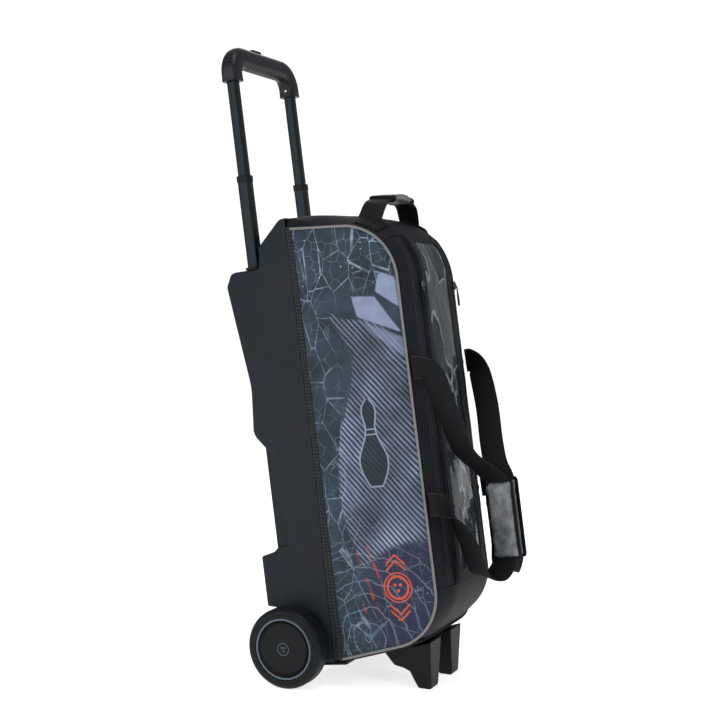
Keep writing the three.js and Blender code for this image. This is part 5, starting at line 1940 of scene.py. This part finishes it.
class BAG_OT_wheels(bpy.types.Operator):
    """Makes the two wheels: tyre, hub with its pale ring, and a snap-on cap"""

    bl_idname = "bag.wheels"
    bl_label = "Wheels"

    def execute(self, context):
        for side, sign in SIDES:
            centre = middle("tyre_" + side)
            low, high = extent("tyre_" + side)
            radius = high.z
            half = (high.x - low.x) / 2
            self.tyre(side, sign, centre, radius, half)
            self.hub(side, sign, centre, half)
        return {"FINISHED"}

    @staticmethod
    def tyre(side, sign, centre, radius, half):
        rim = 48.8 * MM
        shoulder = 9 * MM
        wall = [(half - 0.6 * MM, rim), (half, rim + 0.8 * MM), (half, rim + 3.4 * MM)]
        wall += [(half, rim + 4.4 * MM), (half - 0.7 * MM, rim + 4.8 * MM)]
        wall.append((half - 0.4 * MM, rim + 5.6 * MM))
        for turn in spread(8, 90, 8):
            angle = math.radians(turn)
            across = half - shoulder + shoulder * math.cos(angle)
            wall.append((across, radius - shoulder + shoulder * math.sin(angle)))
        tread = []
        for groove in (0.42, 0.0, -0.42):
            x = half * groove
            tread += [(x + 1.2 * MM, radius), (x + 0.6 * MM, radius - 1.0 * MM)]
            tread += [(x - 0.6 * MM, radius - 1.0 * MM), (x - 1.2 * MM, radius)]
        inner = [(-x, r) for x, r in reversed(wall)]
        profile = [(sign * x, r) for x, r in wall + tread + inner]
        tyre = turned_piece("wheel_tyre_" + side, tyre_rubber, centre, profile)
        dress(tyre, "wheel_" + side, "tyre_rubber", "tyre_" + side)

    @staticmethod
    def hub(side, sign, centre, half):
        body = "wheel_" + side
        cap_radius = extent("hub_cap_" + side)[1].z
        rim = 48.2 * MM
        face = half - 2 * MM
        ring = [
            (-half + 2.5 * MM, 5.1 * MM),
            (face - 6 * MM, 5.1 * MM),
            (face - 6 * MM, cap_radius + 0.8 * MM),
            (face - 0.6 * MM, cap_radius + 0.9 * MM),
            (face, cap_radius + 1.4 * MM),
            (face, cap_radius + 2.2 * MM),
            (face - 1.2 * MM, cap_radius + 2.8 * MM),
            (face - 1.2 * MM, rim - 2.6 * MM),
            (face - 1.2 * MM, rim),
            (-half + 2.5 * MM, rim),
            (-half + 2.5 * MM, rim - 4 * MM),
            (-2 * MM, rim - 5.5 * MM),
            (-2 * MM, 15 * MM),
            (-half + 2.5 * MM, 13 * MM),
        ]
        profile = [(sign * x, r) for x, r in ring]
        hub = turned_piece("wheel_hub_" + side, black_plastic, centre, profile)
        dress(hub, body, "grey_plastic", "hub_" + side)
        bright = [
            (face - 1.0 * MM, rim - 3.1 * MM),
            (face + 0.5 * MM, rim - 2.8 * MM),
            (face + 0.9 * MM, rim - 2.0 * MM),
            (face + 0.9 * MM, rim - 0.8 * MM),
            (face + 0.4 * MM, rim - 0.1 * MM),
            (face - 1.0 * MM, rim),
        ]
        profile = [(sign * x, r) for x, r in bright]
        band = turned_piece("wheel_ring_" + side, ring_plastic, centre, profile)
        dress(band, body, "grey_plastic")
        BAG_OT_wheels.cap(side, sign, centre, face, cap_radius, body)

    @staticmethod
    def cap(side, sign, centre, face, radius, body):
        """A round cap with a raised edge and a flat band left proud across it."""
        raised = 0.8 * MM
        band_high, band_low = 16 * MM, -17 * MM
        sides = 96

        def face_x(y, z):
            """Depth of the cap's face at a place in the bag's own frame."""
            into = smoothstep(band_low - 0.6 * MM, band_low + 0.6 * MM, z)
            into *= smoothstep(band_high + 0.6 * MM, band_high - 0.6 * MM, z)
            return face - 0.9 * MM + raised * into

        def place(x, r, turn):
            y, z = r * math.cos(turn), r * math.sin(turn)
            return centre + ACROSS * (sign * x) + BACK * y + UP * z

        turns = [2 * math.pi * k / sides for k in range(sides)]
        rings = [[place(face - 5.4 * MM, r, t) for t in turns] for r in (2 * MM, radius - 0.5 * MM)]
        edge = [(face - 5.0 * MM, radius), (face + 0.2 * MM, radius)]
        edge += [(face + 0.8 * MM, radius - 0.5 * MM), (face + 0.8 * MM, radius - 1.6 * MM)]
        edge.append((face + 0.2 * MM, radius - 2.1 * MM))
        rings += [[place(x, r, t) for t in turns] for x, r in edge]
        for r in reversed(spread(2 * MM, radius - 2.6 * MM, 1.2 * MM)):
            rings.append([place(face_x(r * math.cos(t), r * math.sin(t)), r, t) for t in turns])
        cap = Shape().add(loft(rings)).piece("wheel_cap_" + side, black_plastic, 25.0)
        dress(cap, body, "black_plastic", "hub_cap_" + side)
        mark = Shape()
        proud = face + 0.15 * MM
        ball = [place(proud, 9.5 * MM, t) for t in turns[::3]]
        ball.append(ball[0])
        mark.add(tube(ball, 0.55 * MM, 8))
        for y, z in ((-2.6, 2.2), (2.6, 2.2), (0, -3.0)):
            ring = [centre + ACROSS * (sign * proud) + BACK * (y * MM) + UP * (z * MM)]
            hole = [ring[0] + (BACK * math.cos(t) + UP * math.sin(t)) * (1.5 * MM) for t in turns[::8]]
            hole.append(hole[0])
            mark.add(tube(hole, 0.4 * MM, 6))
        emblem = mark.piece("wheel_mark_" + side, ring_plastic)
        dress(emblem, body, "grey_plastic")


class BAG_OT_base(bpy.types.Operator):
    """Makes the moulded tray under the bag and its two front feet"""

    bl_idname = "bag.base"
    bl_label = "Base and Feet"

    def execute(self, context):
        tray = cad_copy("base_tray", "base_moulding", black_plastic, 0.8 * MM)
        dress(tray, "bag", "black_plastic", "base_tray")
        for side, _ in SIDES:
            foot = cad_copy("foot_" + side, "front_foot_" + side, black_plastic, 2.2 * MM)
            foot.modifiers[0].segments = 4
            dress(foot, "bag", "black_plastic", "foot_" + side)
        return {"FINISHED"}


class BAG_OT_inside(bpy.types.Operator):
    """Makes the foam cradles that the balls lie on"""

    bl_idname = "bag.inside"
    bl_label = "Ball Cradles"

    def execute(self, context):
        for level in ("low", "middle", "high"):
            node = "ball_cradle_" + level
            cradle = cad_copy(node, "foam_cradle_" + level, foam, 0.0, 60.0)
            even = cradle.modifiers.new("even skin", "REMESH")
            even.mode = "VOXEL"
            even.voxel_size = 4 * MM
            softer = cradle.modifiers.new("softer", "SMOOTH")
            softer.factor = 0.5
            softer.iterations = 3
            settled(cradle)
            cradle.data.shade_smooth()
            dress(cradle, "bag", "foam", node)
        return {"FINISHED"}


class BAG_OT_stage(bpy.types.Operator):
    """Makes the pale floor, soft lights and the camera"""

    bl_idname = "bag.stage"
    bl_label = "Stage"

    def execute(self, context):
        settings = context.scene.bag_stage
        self.floor(settings.floor_size)
        self.world()
        self.lights(settings.key_power)
        self.camera(settings.camera_yaw, settings.camera_pitch)
        context.scene.view_settings.view_transform = "Standard"
        return {"FINISHED"}

    @staticmethod
    def floor(size):
        mesh = bpy.data.meshes.new("pale_floor")
        reach = size / 2
        corners = [(-reach, -reach, 0), (reach, -reach, 0), (reach, reach, 0), (-reach, reach, 0)]
        mesh.from_pydata(corners, [], [(0, 1, 2, 3)])
        floor = bpy.data.objects.new("pale_floor", mesh)
        bpy.context.scene.collection.objects.link(floor)
        look = Look("floor_paper")
        grain = look.noise(look.node("ShaderNodeTexCoord", output=3), 0.4, detail=2)
        tone = look.mix(grain, (0.90, 0.90, 0.90, 1), (0.92, 0.92, 0.92, 1))
        look.surface(
            tone,
            0.9,
            Specular_IOR_Level=0.1,
            Emission_Color=(1, 1, 1, 1),
            Emission_Strength=0.72,
        )
        mesh.materials.append(look.material)

    @staticmethod
    def world():
        world = bpy.data.worlds.new("studio")
        world.use_nodes = True
        graph = Graph(world.node_tree)
        world.node_tree.nodes.clear()
        seen = graph.node("ShaderNodeLightPath", output="Is Camera Ray")
        soft = {"Color": (0.92, 0.96, 1.0, 1), "Strength": 0.42}
        sky = graph.node("ShaderNodeBackground", None, soft)
        backdrop = graph.node("ShaderNodeBackground", None, {"Color": (1, 1, 1, 1), "Strength": 1.1})
        shown = graph.node("ShaderNodeMixShader", None, {0: seen, 1: sky, 2: backdrop})
        graph.node("ShaderNodeOutputWorld", None, {"Surface": shown})
        bpy.context.scene.world = world

    @staticmethod
    def lights(power):
        target = at(0, -0.1, 0.35)
        lamps = (
            ("side", (-2.7, 1.3, 1.3), 1.9, 0.9),
            ("strip", (-1.1, -2.6, 1.5), 0.7, 0.45),
            ("top", (-0.6, -0.5, 3.0), 1.4, 0.8),
            ("rim", (1.8, 1.2, 2.0), 1.2, 0.3),
        )
        for name, place, size, share in lamps:
            lamp = bpy.data.lights.new(name, "AREA")
            lamp.shape = "SQUARE"
            lamp.size = size
            lamp.energy = power * share
            holder = bpy.data.objects.new(name, lamp)
            holder.location = place
            holder.rotation_euler = (target - Vector(place)).to_track_quat("-Z", "Y").to_euler()
            bpy.context.scene.collection.objects.link(holder)

    @staticmethod
    def camera(yaw, pitch):
        lens = bpy.data.cameras.new("view")
        lens.lens = 66.27
        lens.sensor_width = 36.0
        lens.clip_end = 200.0
        camera = bpy.data.objects.new("view", lens)
        place = Vector((-1.9557, AXLE.y - 0.9672, 0.6184))
        level = math.cos(pitch)
        way = Vector((math.cos(yaw) * level, math.sin(yaw) * level, -math.sin(pitch)))
        camera.location = place
        camera.rotation_euler = way.to_track_quat("-Z", "Y").to_euler()
        bpy.context.scene.collection.objects.link(camera)
        bpy.context.scene.camera = camera


STEPS = (
    BAG_OT_stage,
    BAG_OT_shell,
    BAG_OT_base,
    BAG_OT_inside,
    BAG_OT_side_panels,
    BAG_OT_piping,
    BAG_OT_top,
    BAG_OT_lid,
    BAG_OT_gussets,
    BAG_OT_zips,
    BAG_OT_straps,
    BAG_OT_grab_handle,
    BAG_OT_handle,
    BAG_OT_wheels,
)


class VIEW3D_PT_roller_bag(bpy.types.Panel):
    """Sidebar panel that lists the bag's sizes, colours and pieces"""

    bl_label = "Roller Bag"
    bl_space_type = "VIEW_3D"
    bl_region_type = "UI"
    bl_category = "Roller Bag"

    def draw(self, context):
        for group in (context.scene.bag_sizes, context.scene.bag_colours, context.scene.bag_stage):
            box = self.layout.box()
            for name in group.__annotations__:
                box.prop(group, name)
        for step in STEPS:
            self.layout.operator(step.bl_idname)


GROUPS = (("bag_sizes", BagSizes), ("bag_colours", BagColours), ("bag_stage", StageSettings))


def register():
    for name, group in GROUPS:
        bpy.utils.register_class(group)
        setattr(bpy.types.Scene, name, bpy.props.PointerProperty(type=group))
    for step in STEPS:
        bpy.utils.register_class(step)
    bpy.utils.register_class(VIEW3D_PT_roller_bag)


def unregister():
    bpy.utils.unregister_class(VIEW3D_PT_roller_bag)
    for step in reversed(STEPS):
        bpy.utils.unregister_class(step)
    for name, group in reversed(GROUPS):
        delattr(bpy.types.Scene, name)
        bpy.utils.unregister_class(group)


def main():
    register()
    for step in STEPS:
        group, name = step.bl_idname.split(".")
        getattr(getattr(bpy.ops, group), name)()


if __name__ == "__main__":
    main()
